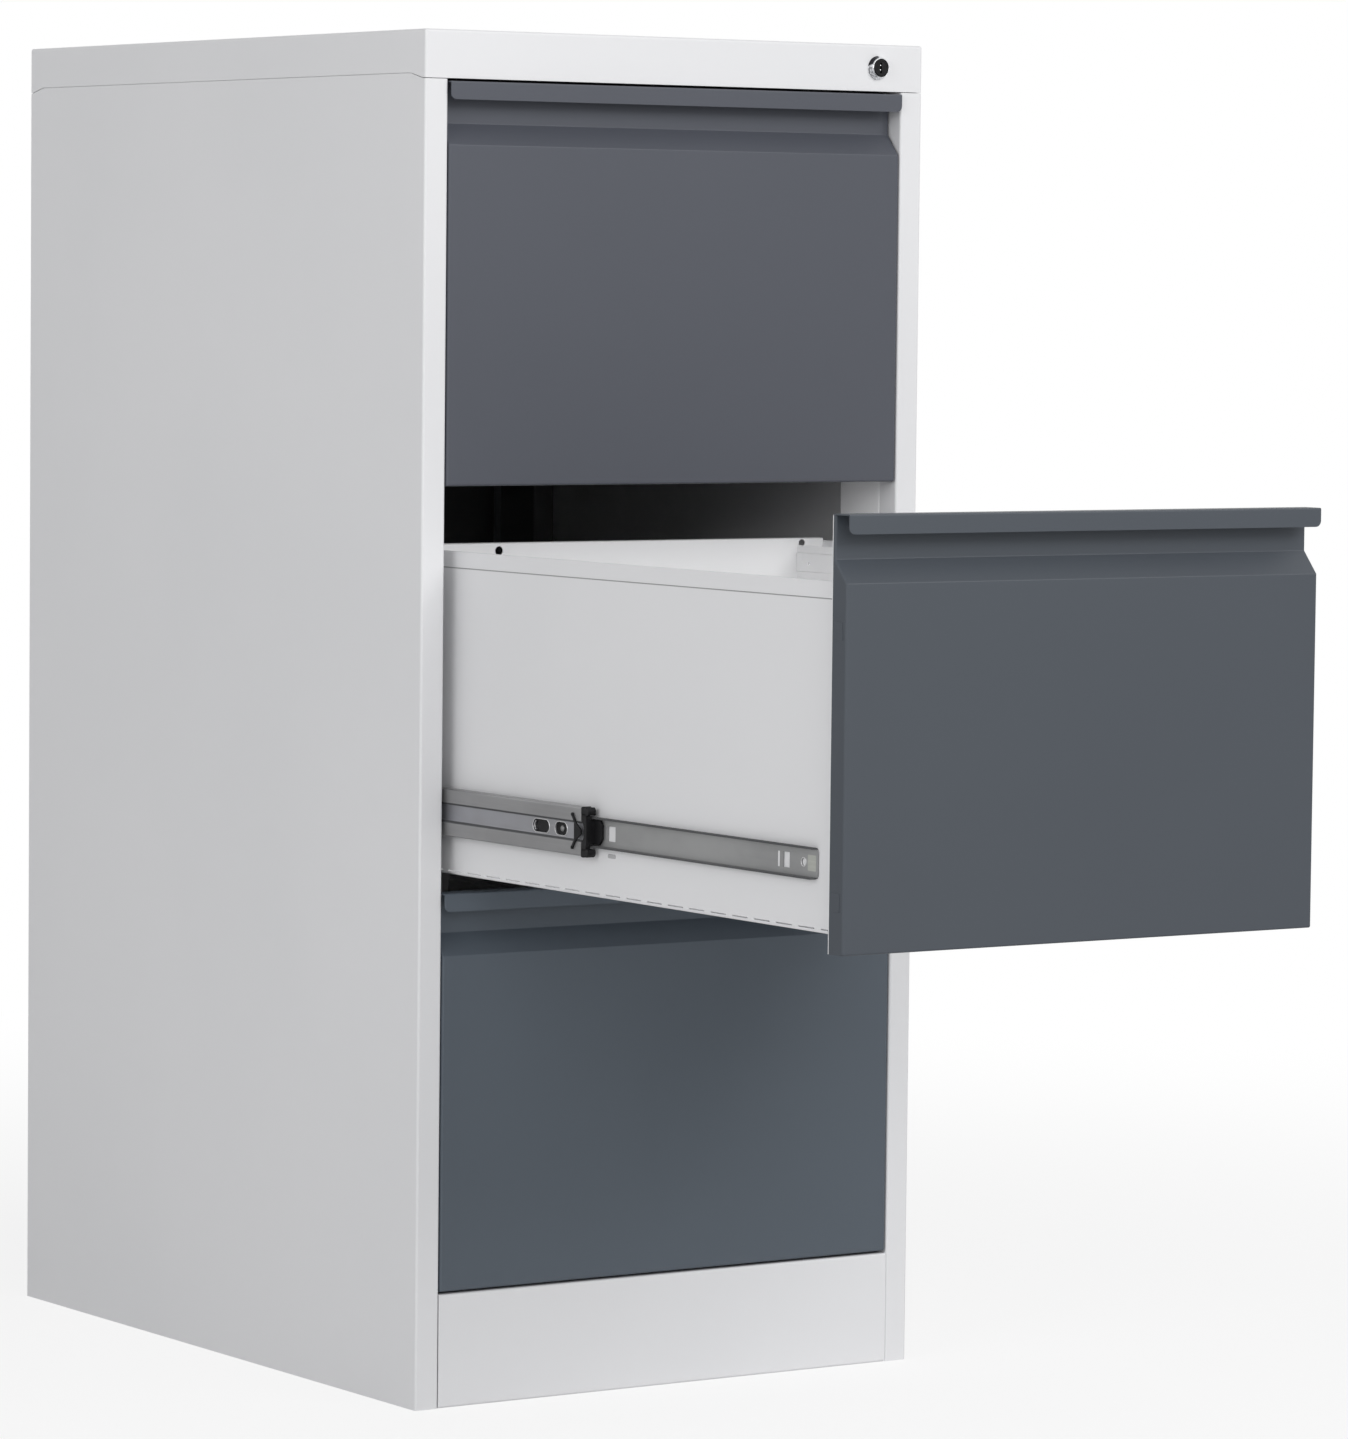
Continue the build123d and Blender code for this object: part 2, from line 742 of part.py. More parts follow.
def drawer_body(base, shift, name):
    """White tray, its back panel, the hanging-file rails and the lock striker."""
    floor_z = base + tray_bottom_gap
    rim_z = floor_z + tray_height
    front = tray_front_y + shift
    rear = tray_back_y + shift
    wall = drawer_back_y + shift
    with BuildPart() as tray:
        with BuildSketch(front_plane(rear)):
            add(
                folded(
                    [(-tray_half, rim_z), (-tray_half, floor_z), (tray_half, floor_z), (tray_half, rim_z)],
                    Side.LEFT,
                )
            )
        extrude(amount=rear - front)
        for s in (-1, 1):
            edge = s * (tray_half + hem_proud)
            inside = s * (tray_half + hem_proud - hem_thickness)
            box_between(
                (min(edge, inside), front, rim_z - hem_height),
                (max(edge, inside), rear, rim_z),
            )
            inner_face = s * (tray_half - sheet)
            tab_end = s * (tray_half - sheet - tray_tab)
            box_between(
                (min(inner_face, tab_end), front, floor_z + sheet),
                (max(inner_face, tab_end), front + sheet, rim_z - hem_height - hem_proud),
            )
    save(tray.part, name + "_drawer_tray")

    back_half = tray_half + hem_proud - hem_thickness - back_panel_side_gap
    back_top = rim_z + back_panel_rise
    rail_x = rail_spacing / 2
    rail_top = rim_z - rail_top_below_rim
    with BuildPart() as back:
        box_between((-back_half, wall, floor_z + sheet), (back_half, rear, back_top))
        fillet(back.edges().filter_by(Axis.X).group_by(Axis.Y)[0].sort_by(Axis.Z)[-1], back_panel_bend)
        offset(amount=-sheet, openings=back.faces().sort_by(Axis.Y)[-1])
        with BuildSketch(front_plane(wall + 2 * sheet)):
            with Locations((-back_hole_offset, back_top - back_hole_drop)):
                Circle(back_hole_radius)
            for s in (-1, 1):
                with Locations((s * (rail_x + rail_end_hole_place[0]), rail_top - rail_end_hole_place[1])):
                    Circle(rail_end_hole_radius)
                for drop, height in rail_slots:
                    with Locations((s * (rail_x - rail_slot_inset), rail_top - drop)):
                        Rectangle(rail_slot_width, height)
        extrude(amount=3 * sheet, mode=Mode.SUBTRACT)
    save(back.part, name + "_drawer_back_panel")

    with BuildPart() as rail:
        with BuildSketch(front_plane(wall)):
            with BuildLine():
                Polyline(*[(-rail_x + step * rail_rib, rail_top - drop) for drop, step in rail_steps])
                offset(amount=rail_sheet, side=Side.LEFT)
            make_face()
        extrude(amount=wall - front)
        with BuildSketch(Plane.YZ.offset(-rail_x - 3 * rail_sheet)):
            with Locations((wall - rail_hole_from_back, rail_top - rail_strip_height / 2)):
                Circle(rail_hole_radius)
        extrude(amount=6 * rail_sheet, mode=Mode.SUBTRACT)
    save_pair([rail.part], name + "_hanging_file_rails")

    striker_z = base + catch_above_front + catch_height + striker_lift
    with BuildPart() as striker:
        box_between(
            (tray_half, striker_y + shift, striker_z),
            (tray_half + sheet, striker_y + striker_length + shift, striker_z + catch_height),
        )
        box_between(
            (tray_half + sheet, striker_y + shift, striker_z),
            (tray_half + striker_tooth, striker_y + sheet + shift, striker_z + catch_height),
        )
    save(striker.part, name + "_lock_striker")


def drawer_slides(base, shift, name):
    """Both ball-bearing slides of a drawer, at the drawer's place."""
    centre = base + slide_centre_above_front
    save_sides(outer_member(centre), name + "_slide_cabinet_member")
    save_sides(middle_member(centre, shift / 2), name + "_slide_middle_member")
    save_sides(inner_member(centre, shift), name + "_slide_drawer_member")
    outer_gap_top = outer_member_height / 2 - slide_sheet
    outer_gap_z = (outer_gap_top + middle_member_height / 2) / 2
    outer_cage = ball_cage(
        centre,
        slide_front_y + outer_cage_front + shift / 4,
        outer_cage_length,
        outer_cage_web,
        outer_cage_strip_start,
        outer_gap_z + cage_sheet / 2,
        outer_ball_place,
        outer_gap_z,
        outer_gap_top - outer_gap_z - outer_ball_play,
    )
    save_pair(outer_cage, name + "_outer_ball_cages")
    inner_gap_top = middle_member_height / 2 - slide_sheet
    inner_gap_z = (inner_gap_top + inner_member_height / 2) / 2
    inner_cage = ball_cage(
        centre,
        slide_front_y + inner_cage_front + shift * 3 / 4,
        inner_cage_length,
        inner_cage_web,
        inner_cage_strip_start,
        inner_gap_z + cage_sheet / 2,
        inner_ball_place,
        inner_gap_z,
        inner_gap_top - inner_gap_z - inner_ball_play,
    )
    save_pair(inner_cage, name + "_inner_ball_cages")
    save_pair([end_stop(centre, shift / 2)], name + "_slide_end_stops")


for base_z, drawer_shift, drawer_name in zip(drawer_bases, drawer_shifts, drawer_names):
    drawer_front(base_z, drawer_shift, drawer_name)
    drawer_body(base_z, drawer_shift, drawer_name)
    drawer_slides(base_z, drawer_shift, drawer_name)
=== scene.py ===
"""Looks of a three-drawer steel filing cabinet: finishes, pressed and moulded pieces, studio.

Every length is in metres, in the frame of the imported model: X to the right, Y to the back and Z
up, from the middle of the cabinet's footprint on the floor.
"""

import json
import logging
import math
from dataclasses import dataclass
from enum import Enum
from typing import Optional, Sequence, Union

import bmesh
import bpy
import numpy as np
from mathutils import Matrix


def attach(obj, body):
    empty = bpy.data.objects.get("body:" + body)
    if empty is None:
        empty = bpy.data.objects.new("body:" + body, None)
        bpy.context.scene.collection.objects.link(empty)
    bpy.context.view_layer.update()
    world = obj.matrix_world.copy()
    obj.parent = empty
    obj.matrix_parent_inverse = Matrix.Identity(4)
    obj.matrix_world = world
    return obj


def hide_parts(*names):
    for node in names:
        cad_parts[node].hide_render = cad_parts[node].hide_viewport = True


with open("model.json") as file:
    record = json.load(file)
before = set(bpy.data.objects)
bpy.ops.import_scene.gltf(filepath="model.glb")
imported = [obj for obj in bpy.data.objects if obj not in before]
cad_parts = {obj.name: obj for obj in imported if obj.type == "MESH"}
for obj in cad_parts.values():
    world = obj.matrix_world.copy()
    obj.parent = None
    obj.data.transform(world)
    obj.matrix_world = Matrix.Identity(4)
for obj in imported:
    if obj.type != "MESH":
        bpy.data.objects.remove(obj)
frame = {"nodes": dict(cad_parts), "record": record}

LOG = logging.getLogger("cabinet")
MM = 0.001
DRAWER_PITCH = 302 * MM
LOCK_CENTRE = (183.5 * MM, 1012 * MM)

Node = bpy.types.Node
Socket = bpy.types.NodeSocket
Vector2 = tuple[float, float]
Vector3 = tuple[float, float, float]
Colour = tuple[float, float, float]
Line = Union[np.ndarray, Sequence[Vector2]]
Number = Union[float, "Value"]
Radii = Union[float, np.ndarray, Sequence[float]]


class Axis(Enum):
    """Axis that an outline is carried along: across the cabinet or from its front to its back."""

    X = 0
    Y = 1


class Graph:
    """Node tree of one material or world, which adds nodes by type and places them in rows."""

    row = 9
    spacing = (220, -260)

    def __init__(self, tree: bpy.types.NodeTree) -> None:
        """Empty the tree and keep it."""
        self.tree = tree
        tree.nodes.clear()

    def node(
        self, kind: str, settings: Optional[dict] = None, inputs: Optional[dict] = None
    ) -> Node:
        """Add a node, set its options first and then its sockets.

        Args:
            kind: the node's type name.
            settings: options such as a Math node's operation.
            inputs: values or links by socket name or index.

        Returns:
            The new node.
        """
        made = self.tree.nodes.new(kind)
        down, along = divmod(len(self.tree.nodes), self.row)
        made.location = (self.spacing[0] * along, self.spacing[1] * down)
        for key, value in (settings or {}).items():
            setattr(made, key, value)
        for key, value in (inputs or {}).items():
            self.feed(made.inputs[key], value)
        return made

    def feed(self, socket: Socket, value: object) -> None:
        """Link a value to a socket, or set the socket's own value.

        Args:
            socket: the input socket.
            value: a number or link to feed it, or its own value; a colour has three channels.
        """
        source = value.socket if isinstance(value, Value) else value
        if isinstance(source, Socket):
            self.tree.links.new(source, socket)
        elif socket.type == "RGBA":
            socket.default_value = (*source, 1.0)
        else:
            socket.default_value = source

    def value(self, node: Node, output: Union[str, int] = 0) -> "Value":
        """Wrap a node's output as a number for expressions."""
        return Value(self, node.outputs[output])

    def colour_mix(self, factor: Number, low: object, high: object) -> Socket:
        """Mix two colours or links: a factor of 0 gives the first and 1 the second."""
        inputs = {0: factor, 6: low, 7: high}
        return self.node("ShaderNodeMix", {"data_type": "RGBA"}, inputs).outputs[2]

    def bump(self, height: Number, strength: float, distance: float) -> Socket:
        """Normal of a surface raised by a height between 0 and 1 times a distance in metres."""
        inputs = {"Strength": strength, "Distance": distance, "Height": height}
        return self.node("ShaderNodeBump", inputs=inputs).outputs[0]

    def mixed(self, share: Number, first: Node, second: Node) -> Socket:
        """Mix two shaders: a share of 0 gives the first and 1 the second."""
        inputs = {0: share, 1: first.outputs[0], 2: second.outputs[0]}
        return self.node("ShaderNodeMixShader", inputs=inputs).outputs[0]


@dataclass(frozen=True)
class Value:
    """A number that varies over a surface; arithmetic on it adds Math nodes."""

    graph: Graph
    socket: Socket

    def _math(self, operation: str, *values: Number, clamp: bool = False) -> "Value":
        """Add a Math node on these values."""
        settings = {"operation": operation, "use_clamp": clamp}
        node = self.graph.node("ShaderNodeMath", settings, dict(enumerate(values)))
        return self.graph.value(node)

    def __add__(self, other: Number) -> "Value":
        """Sum."""
        return self._math("ADD", self, other)

    def __sub__(self, other: Number) -> "Value":
        """Difference."""
        return self._math("SUBTRACT", self, other)

    def __rsub__(self, other: Number) -> "Value":
        """Difference with the value on the right."""
        return self._math("SUBTRACT", other, self)

    def __mul__(self, other: Number) -> "Value":
        """Product."""
        return self._math("MULTIPLY", self, other)

    __radd__ = __add__

    def clamped(self) -> "Value":
        """The value kept between 0 and 1."""
        return self._math("ADD", self, 0.0, clamp=True)

    def above(self, limit: float) -> "Value":
        """1 where the value is over the limit, else 0."""
        return self._math("GREATER_THAN", self, limit)

    def magnitude(self) -> "Value":
        """The value without its sign."""
        return self._math("ABSOLUTE", self)

    def past_nearest(self, first: float, pitch: float) -> "Value":
        """How far the value is past the nearest of the places that repeat from the first one on."""
        half = pitch / 2
        return self._math("MODULO", self - (first - half), pitch) - half

    def ramp(self, low: float, high: float, to_low: float = 0.0, to_high: float = 1.0) -> "Value":
        """Carry the range from low to high smoothly over to another range, clamped.

        Args:
            low: value that becomes to_low.
            high: value that becomes to_high.
            to_low: lower end of the new range.
            to_high: upper end of the new range.

        Returns:
            The carried value.
        """
        settings = {"interpolation_type": "SMOOTHSTEP"}
        inputs = dict(enumerate((self, low, high, to_low, to_high)))
        return self.graph.value(self.graph.node("ShaderNodeMapRange", settings, inputs))


class Place:
    """Where a point of a piece is, in metres, on its Object coordinates."""

    def __init__(self, graph: Graph) -> None:
        """Add the coordinate nodes to the graph."""
        self.graph = graph
        self.vector = graph.node("ShaderNodeTexCoord").outputs["Object"]
        split = graph.node("ShaderNodeSeparateXYZ", inputs={0: self.vector})
        self.x, self.y, self.z = (graph.value(split, axis) for axis in range(3))

    def noise(
        self, scale: float, detail: float, stretch: Vector3 = (1.0, 1.0, 1.0), shift: float = 0.0
    ) -> Value:
        """Fractal noise between 0 and 1.

        Args:
            scale: features per metre.
            detail: octaves.
            stretch: factor on each axis; a small one draws the noise out along that axis.
            shift: offset along all axes, so that two noises differ.

        Returns:
            The noise.
        """
        inputs = {"Vector": self.vector, "Location": (shift,) * 3, "Scale": stretch}
        moved = self.graph.node("ShaderNodeMapping", inputs=inputs).outputs[0]
        inputs = {"Vector": moved, "Scale": scale, "Detail": detail}
        return self.graph.value(self.graph.node("ShaderNodeTexNoise", inputs=inputs))


@dataclass(frozen=True)
class Finish:
    """A finish that turns into one material, made once and shared by its pieces."""

    name: str

    def material(self) -> bpy.types.Material:
        """The finish's material, made at the first call."""
        made = bpy.data.materials.get(self.name)
        if made is None:
            made = bpy.data.materials.new(self.name)
            made.use_nodes = True
            graph = Graph(made.node_tree)
            surface = self.surface(graph, Place(graph))
            graph.node("ShaderNodeOutputMaterial", inputs={"Surface": surface})
        return made

    def surface(self, graph: Graph, place: Place) -> Socket:
        """Build the surface's shader.

        Args:
            graph: the material's graph.
            place: where a point of the piece is.

        Returns:
            The shader's socket.
        """
        inputs = self.shade(graph, place)
        return graph.node("ShaderNodeBsdfPrincipled", inputs=inputs).outputs[0]

    def shade(self, graph: Graph, place: Place) -> dict[str, object]:
        """Work out the shader's inputs; each finish has its own.

        Args:
            graph: the material's graph.
            place: where a point of the piece is.

        Returns:
            Values or links by the name of the input.
        """
        raise NotImplementedError


@dataclass(frozen=True)
class PowderCoat(Finish):
    """Satin powder coat on sheet steel: fine orange peel, faint clouding, slightly uneven gloss."""

    colour: Colour
    cloud_colour: Colour
    roughness: float = 0.42
    peel: float = 0.05

    def shade(self, graph: Graph, place: Place) -> dict[str, object]:
        """Coat colour with wide clouds, roughness with fine grain, and a low bump of peel."""
        clouds = place.noise(3.2, 3.0).ramp(0.35, 0.7)
        grain = place.noise(1400.0, 1.0, shift=3.0)
        peel = place.noise(420.0, 2.0, shift=7.0)
        smears = place.noise(9.0, 4.0, (1.0, 1.0, 0.35), 5.0).ramp(0.5, 0.75)
        colour = graph.colour_mix(clouds * 0.8 + grain * 0.2, self.colour, self.cloud_colour)
        return {
            "Base Color": self.coat(graph, place, colour),
            "Roughness": smears * 0.07 + grain * 0.05 + self.roughness,
            "Specular IOR Level": 0.45,
            "Normal": graph.bump(peel + grain * 0.4, self.peel, 0.4 * MM),
        }

    def coat(self, graph: Graph, place: Place, colour: Socket) -> Socket:
        """Colour of a coat that isn't the same all over; the plain coat keeps the clouded one.

        Args:
            graph: the material's graph.
            place: where a point of the piece is.
            colour: the clouded colour.

        Returns:
            The colour's socket.
        """
        return colour


@dataclass(frozen=True)
class BackCoat(PowderCoat):
    """Powder coat of the casing's rear pieces, with painted shade: dark grey on the faces that look
    forward into the cabinet.
    """

    painted_shade_colour: Colour = (0.22, 0.22, 0.224)
    outer_plane: float = 308.4 * MM

    def coat(self, graph: Graph, place: Place, colour: Socket) -> Socket:
        """Painted shade ahead of the rear skin's outer plane."""
        return graph.colour_mix(place.y.above(self.outer_plane), self.painted_shade_colour, colour)


@dataclass(frozen=True)
class TrayCoat(PowderCoat):
    """Powder coat of the trays, with a fine dark line under each hemmed rim: painted shadow of the
    hem, and dust in the crease.
    """

    crease_shadow_and_dust_colour: Colour = (0.3, 0.3, 0.3)
    crease: float = 329.5 * MM
    edge: float = 0.15 * MM
    width: float = 1.1 * MM

    def coat(self, graph: Graph, place: Place, colour: Socket) -> Socket:
        """Painted shadow and dust: a dark line just below the crease of each drawer."""
        below = 0.0 - place.z.past_nearest(self.crease, DRAWER_PITCH)
        line = below.ramp(0.0, self.edge) * (1.0 - below.ramp(self.width / 2, self.width))
        return graph.colour_mix(line, colour, self.crease_shadow_and_dust_colour)


@dataclass(frozen=True)
class RolledSteel(Finish):
    """Zinc-plated strip: rolling streaks along Y, dull and bright patches, grease-dark clouds."""

    bright: Colour = (0.60, 0.61, 0.61)
    dull: Colour = (0.25, 0.265, 0.27)
    roughness: float = 0.3
    metallic: float = 0.9

    def shade(self, graph: Graph, place: Place) -> dict[str, object]:
        """Colour and roughness from the sum of stretched streaks, blotches and spangle."""
        streaks = place.noise(700.0, 3.0, (1.0, 0.012, 1.0))
        blotches = place.noise(34.0, 5.0, (1.0, 0.55, 1.0), 2.0)
        spangle = place.noise(160.0, 4.0, (1.0, 0.7, 1.0), 4.0)
        tone = (streaks * 0.45 + blotches * 0.75 + spangle * 0.3 - 0.28).ramp(0.1, 0.75)
        return {
            "Base Color": graph.colour_mix(tone, self.dull, self.bright),
            "Roughness": (1.0 - tone) * 0.22 + streaks * 0.08 + self.roughness,
            "Metallic": tone * 0.1 + (self.metallic - 0.1),
            "Normal": graph.bump(streaks + spangle * 0.5, 0.12, 0.2 * MM),
        }


@dataclass(frozen=True)
class MemberSteel(Finish):
    """Slide member's strip: even grey bands, a web of its own tone and a near-black band beside the
    web.
    """

    band: Colour = (0.36, 0.36, 0.365)
    dull: Colour = (0.27, 0.27, 0.275)
    web: Colour = (0.37, 0.375, 0.41)
    dark_band: Colour = (0.03, 0.032, 0.036)
    dark_band_from: float = 5.6 * MM
    dark_band_to: float = 7.5 * MM
    dark_band_edge: float = 0.6 * MM
    dark_band_fade: float = 0.4 * MM
    lowest: float = 147 * MM

    def shade(self, graph: Graph, place: Place) -> dict[str, object]:
        """Masks by height from each slide's middle: web inside the dark band, bands beyond it."""
        height = place.z.past_nearest(self.lowest, DRAWER_PITCH).magnitude()
        streaks = place.noise(620.0, 3.0, (1.0, 0.012, 1.0))
        blotches = place.noise(26.0, 4.0, (1.0, 0.5, 1.0), 2.0).ramp(0.3, 0.7)
        bands = graph.colour_mix(streaks * 0.5 + blotches * 0.5, self.dull, self.band)
        outside = height.ramp(self.dark_band_from, self.dark_band_from + self.dark_band_edge)
        beyond = height.ramp(self.dark_band_to - self.dark_band_fade, self.dark_band_to + self.dark_band_fade)
        dark_band = outside * (1.0 - beyond)
        colour = graph.colour_mix((1.0 - outside) * (0.4 + blotches * 0.6), bands, self.web)
        return {
            "Base Color": graph.colour_mix(dark_band * 0.85, colour, self.dark_band),
            "Roughness": 0.42 + streaks * 0.1 + dark_band * 0.3,
            "Metallic": 0.75 - dark_band * 0.6,
            "Normal": graph.bump(streaks, 0.1, 0.2 * MM),
        }


@dataclass(frozen=True)
class Plated(Finish):
    """Bright plating or polished balls: nearly mirror-like, with faint smears."""

    colour: Colour = (0.72, 0.73, 0.75)
    roughness: float = 0.09
    smeared: float = 0.82

    def shade(self, graph: Graph, place: Place) -> dict[str, object]:
        """Metal with smeared roughness and a trace of darker clouding."""
        smears = place.noise(260.0, 3.0).ramp(0.4, 0.8)
        darker = tuple(channel * self.smeared for channel in self.colour)
        return {
            "Base Color": graph.colour_mix(smears, self.colour, darker),
            "Roughness": smears * 0.12 + self.roughness,
            "Metallic": 1.0,
        }


@dataclass(frozen=True)
class MouldedPlastic(Finish):
    """Black moulded plastic with a fine grain and handling dust."""

    colour: Colour = (0.006, 0.006, 0.007)
    dust: Colour = (0.02, 0.02, 0.022)
    roughness: float = 0.5
    gloss: float = 0.22

    def shade(self, graph: Graph, place: Place) -> dict[str, object]:
        """Dark colour with dusty patches and a grain bump."""
        patches = place.noise(120.0, 4.0).ramp(0.5, 0.8)
        grain = place.noise(3800.0, 1.0, shift=2.0)
        return {
            "Base Color": graph.colour_mix(patches, self.colour, self.dust),
            "Roughness": patches * 0.15 + grain * 0.08 + self.roughness,
            "Specular IOR Level": self.gloss,
            "Normal": graph.bump(grain, 0.15, 0.1 * MM),
        }


@dataclass(frozen=True)
class BezelChrome(Finish):
    """Chrome of the lock's bezel, with painted reflection: a dark arc at its upper left and dark
    stripes below.
    """

    bright: Colour = (0.74, 0.75, 0.77)
    painted_reflection_colour: Colour = (0.035, 0.035, 0.04)
    rim_radius: float = 7.6 * MM
    rim_fade: float = 0.3 * MM

    def shade(self, graph: Graph, place: Place) -> dict[str, object]:
        """Masks of the painted reflection, by how far a point lies from the lock's middle to the
        upper and lower left.
        """
        x, z = place.x - LOCK_CENTRE[0], place.z - LOCK_CENTRE[1]
        cone = (x * x + z * z).ramp(self.rim_radius**2, (self.rim_radius + self.rim_fade) ** 2)
        reflection_arc = (z * 0.77 - x * 0.64).ramp(6.4 * MM, 7.2 * MM) * cone
        low_left = (z * -0.7 - x * 0.71).ramp(4 * MM, 6 * MM) * cone
        reflection_stripes = place.noise(900.0, 1.0, (1.0, 1.0, 0.25)).ramp(0.45, 0.6) * low_left
        painted_reflection = (reflection_arc + reflection_stripes * 0.7).clamped()
        return {
            "Base Color": graph.colour_mix(painted_reflection, self.bright, self.painted_reflection_colour),
            "Roughness": reflection_stripes * 0.2 + 0.1,
            "Metallic": 1.0,
        }


@dataclass(frozen=True)
class FloorPaint(Finish):
    """Pale floor that shows the cabinet's soft shadow near it and turns white further out."""

    colour: Colour = (0.86, 0.86, 0.86)
    white: Colour = (1.0, 1.0, 1.0)

    def surface(self, graph: Graph, place: Place) -> Socket:
        """Paint mixed with plain white by the distance from the cabinet, to the camera only."""
        distance = graph.node("ShaderNodeVectorMath", {"operation": "LENGTH"}, {0: place.vector})
        far = graph.value(distance, "Value").ramp(0.5, 2.2, 0.82, 1.0)
        seen = graph.value(graph.node("ShaderNodeLightPath"), "Is Camera Ray")
        paint = graph.node("ShaderNodeBsdfDiffuse", inputs={"Color": self.colour})
        white = graph.node("ShaderNodeEmission", inputs={"Color": self.white, "Strength": 1.0})
        return graph.mixed(far * seen, paint, white)


WHITE =((0.80, 0.80, 0.812), (0.777, 0.779, 0.792))
WHITE_COAT = PowderCoat("white_paint_coat", *WHITE)
TRAY_COAT = TrayCoat("tray_paint_coat", *WHITE)
BACK_COAT = BackCoat("rear_paint_coat", *WHITE)
# Brighter white for the pieces inside the cabinet named in INNER_NODES: painted light where little
# light reaches.
INNER_PAINTED_LIGHT_COAT = PowderCoat("inner_painted_light_coat", (0.93, 0.93, 0.935), (0.91, 0.91, 0.915))
# Mid grey for the pressed lances on the tray sides: painted shade on the small bridges.
LANCE_PAINTED_SHADE_COAT = PowderCoat("lance_painted_shade_coat", (0.5, 0.5, 0.51), (0.42, 0.42, 0.43))
# One grey paint in three copies tuned to how each front is lit: the open middle front darker,
# painted shade; the bottom front lighter, painted light.
GREYS_WITH_PAINTED_LIGHT = {
    "top": ("grey_paint_coat", (0.074, 0.080, 0.099), (0.070, 0.076, 0.094)),
    "middle": ("grey_paint_coat_open_painted_shade", (0.056, 0.066, 0.080), (0.053, 0.062, 0.076)),
    "bottom": ("grey_paint_coat_low_painted_light", (0.084, 0.103, 0.126), (0.079, 0.097, 0.119)),
}
GREY_COATS_WITH_PAINTED_LIGHT = {
    drawer: PowderCoat(*grey, roughness=0.48, peel=0.04) for drawer, grey in GREYS_WITH_PAINTED_LIGHT.items()
}
ZINC = RolledSteel("zinc_steel_strip")
RIVET = RolledSteel("rivet_steel", (0.3, 0.3, 0.3), (0.14, 0.14, 0.145), 0.45, 0.7)
PAD = RolledSteel("pad_steel", (0.52, 0.53, 0.49), (0.4, 0.41, 0.38), 0.4, 0.7)
MIDDLE_STRIP = MemberSteel("middle_member_strip")
DRAWER_STRIP = MemberSteel(
    "drawer_member_strip",
    band=(0.40, 0.40, 0.398),
    dull=(0.24, 0.245, 0.25),
    web=(0.375, 0.378, 0.38),
    dark_band_from=9.4 * MM,
    dark_band_to=20 * MM,
)
BURR = Plated("slot_burr", (0.68, 0.68, 0.69), 0.3)
BEARING = Plated("bearing_steel_balls", (0.62, 0.62, 0.63), 0.16)
CHROME = Plated("chrome_plate")
BEZEL = BezelChrome("chrome_bezel")
BLACK = MouldedPlastic("black_plastic_stop")
PLUG = MouldedPlastic("lock_plug_black", (0.008, 0.008, 0.009), (0.02, 0.02, 0.021), 0.4, 0.15)
FLOOR = FloorPaint("floor")

REAR_NODES = ("back_panel", "rear_uprights")
INNER_NODES = ("drawer_back", "hanging", "front_left", "front_right")

FINISH_OF_SLOT: dict[str, Finish] = {
    "white_paint": WHITE_COAT,
    "grey_paint": GREY_COATS_WITH_PAINTED_LIGHT["top"],
    "zinc_steel": ZINC,
    "bearing_steel": BEARING,
    "black_plastic": BLACK,
    "chrome": CHROME,
    "lock_black": PLUG,
}


def add_object(name: str, data: bpy.types.ID) -> bpy.types.Object:
    """Make an object in the scene.

    Args:
        name: its name.
        data: its mesh, camera or lamp.

    Returns:
        The object.
    """
    obj = bpy.data.objects.new(name, data)
    bpy.context.collection.objects.link(obj)
    return obj


def facing(right: np.ndarray, up: np.ndarray, back: np.ndarray, place: Vector3) -> Matrix:
    """Matrix of a camera or lamp.

    Args:
        right: its X axis.
        up: its Y axis.
        back: its Z axis, away from what it faces.
        place: where it stands.

    Returns:
        The matrix.
    """
    matrix = np.eye(4)
    matrix[:3] = np.stack([right, up, back, place], axis=1)
    return Matrix(matrix.tolist())


def dress(obj: bpy.types.Object, finish: Finish) -> None:
    """Give every material slot of an object one finish.

    Args:
        obj: the object.
        finish: the finish.
    """
    material = finish.material()
    if not obj.material_slots:
        obj.data.materials.append(material)
    for slot in obj.material_slots:
        slot.material = material


def merge(mesh: bpy.types.Mesh) -> None:
    """Join points that lie at the same place, and drop the faces that this empties.

    Args:
        mesh: the mesh.
    """
    work = bmesh.new()
    work.from_mesh(mesh)
    bmesh.ops.remove_doubles(work, verts=work.verts, dist=1e-7)
    bmesh.ops.dissolve_degenerate(work, edges=work.edges, dist=1e-8)
    work.to_mesh(mesh)
    work.free()


def thicken(obj: bpy.types.Object, thickness: float) -> None:
    """Give an open sheet its thickness, inwards from its outer surface.

    Args:
        obj: the sheet.
        thickness: its thickness.
    """
    solid = obj.modifiers.new("thickness", "SOLIDIFY")
    solid.thickness = thickness
    solid.offset = -1.0


def soften(obj: bpy.types.Object, width: float, segments: int = 2, joined: bool = False) -> None:
    """Round the sharp edges a little and keep the flats flat.

    Args:
        obj: the piece.
        width: width of the rounding.
        segments: steps of the rounding.
        joined: whether points that the rounding brings together become one.
    """
    bevel = obj.modifiers.new("edges", "BEVEL")
    bevel.width = width
    bevel.segments = segments
    bevel.limit_method = "ANGLE"
    bevel.angle_limit = math.radians(40.0)
    if joined:
        obj.modifiers.new("join", "WELD").merge_threshold = 0.001 * MM
    obj.modifiers.new("normals", "WEIGHTED_NORMAL").keep_sharp = True


def circle(angle: np.ndarray) -> np.ndarray:
    """Points of the unit circle at these angles."""
    return np.stack([np.cos(angle), np.sin(angle)], axis=-1)


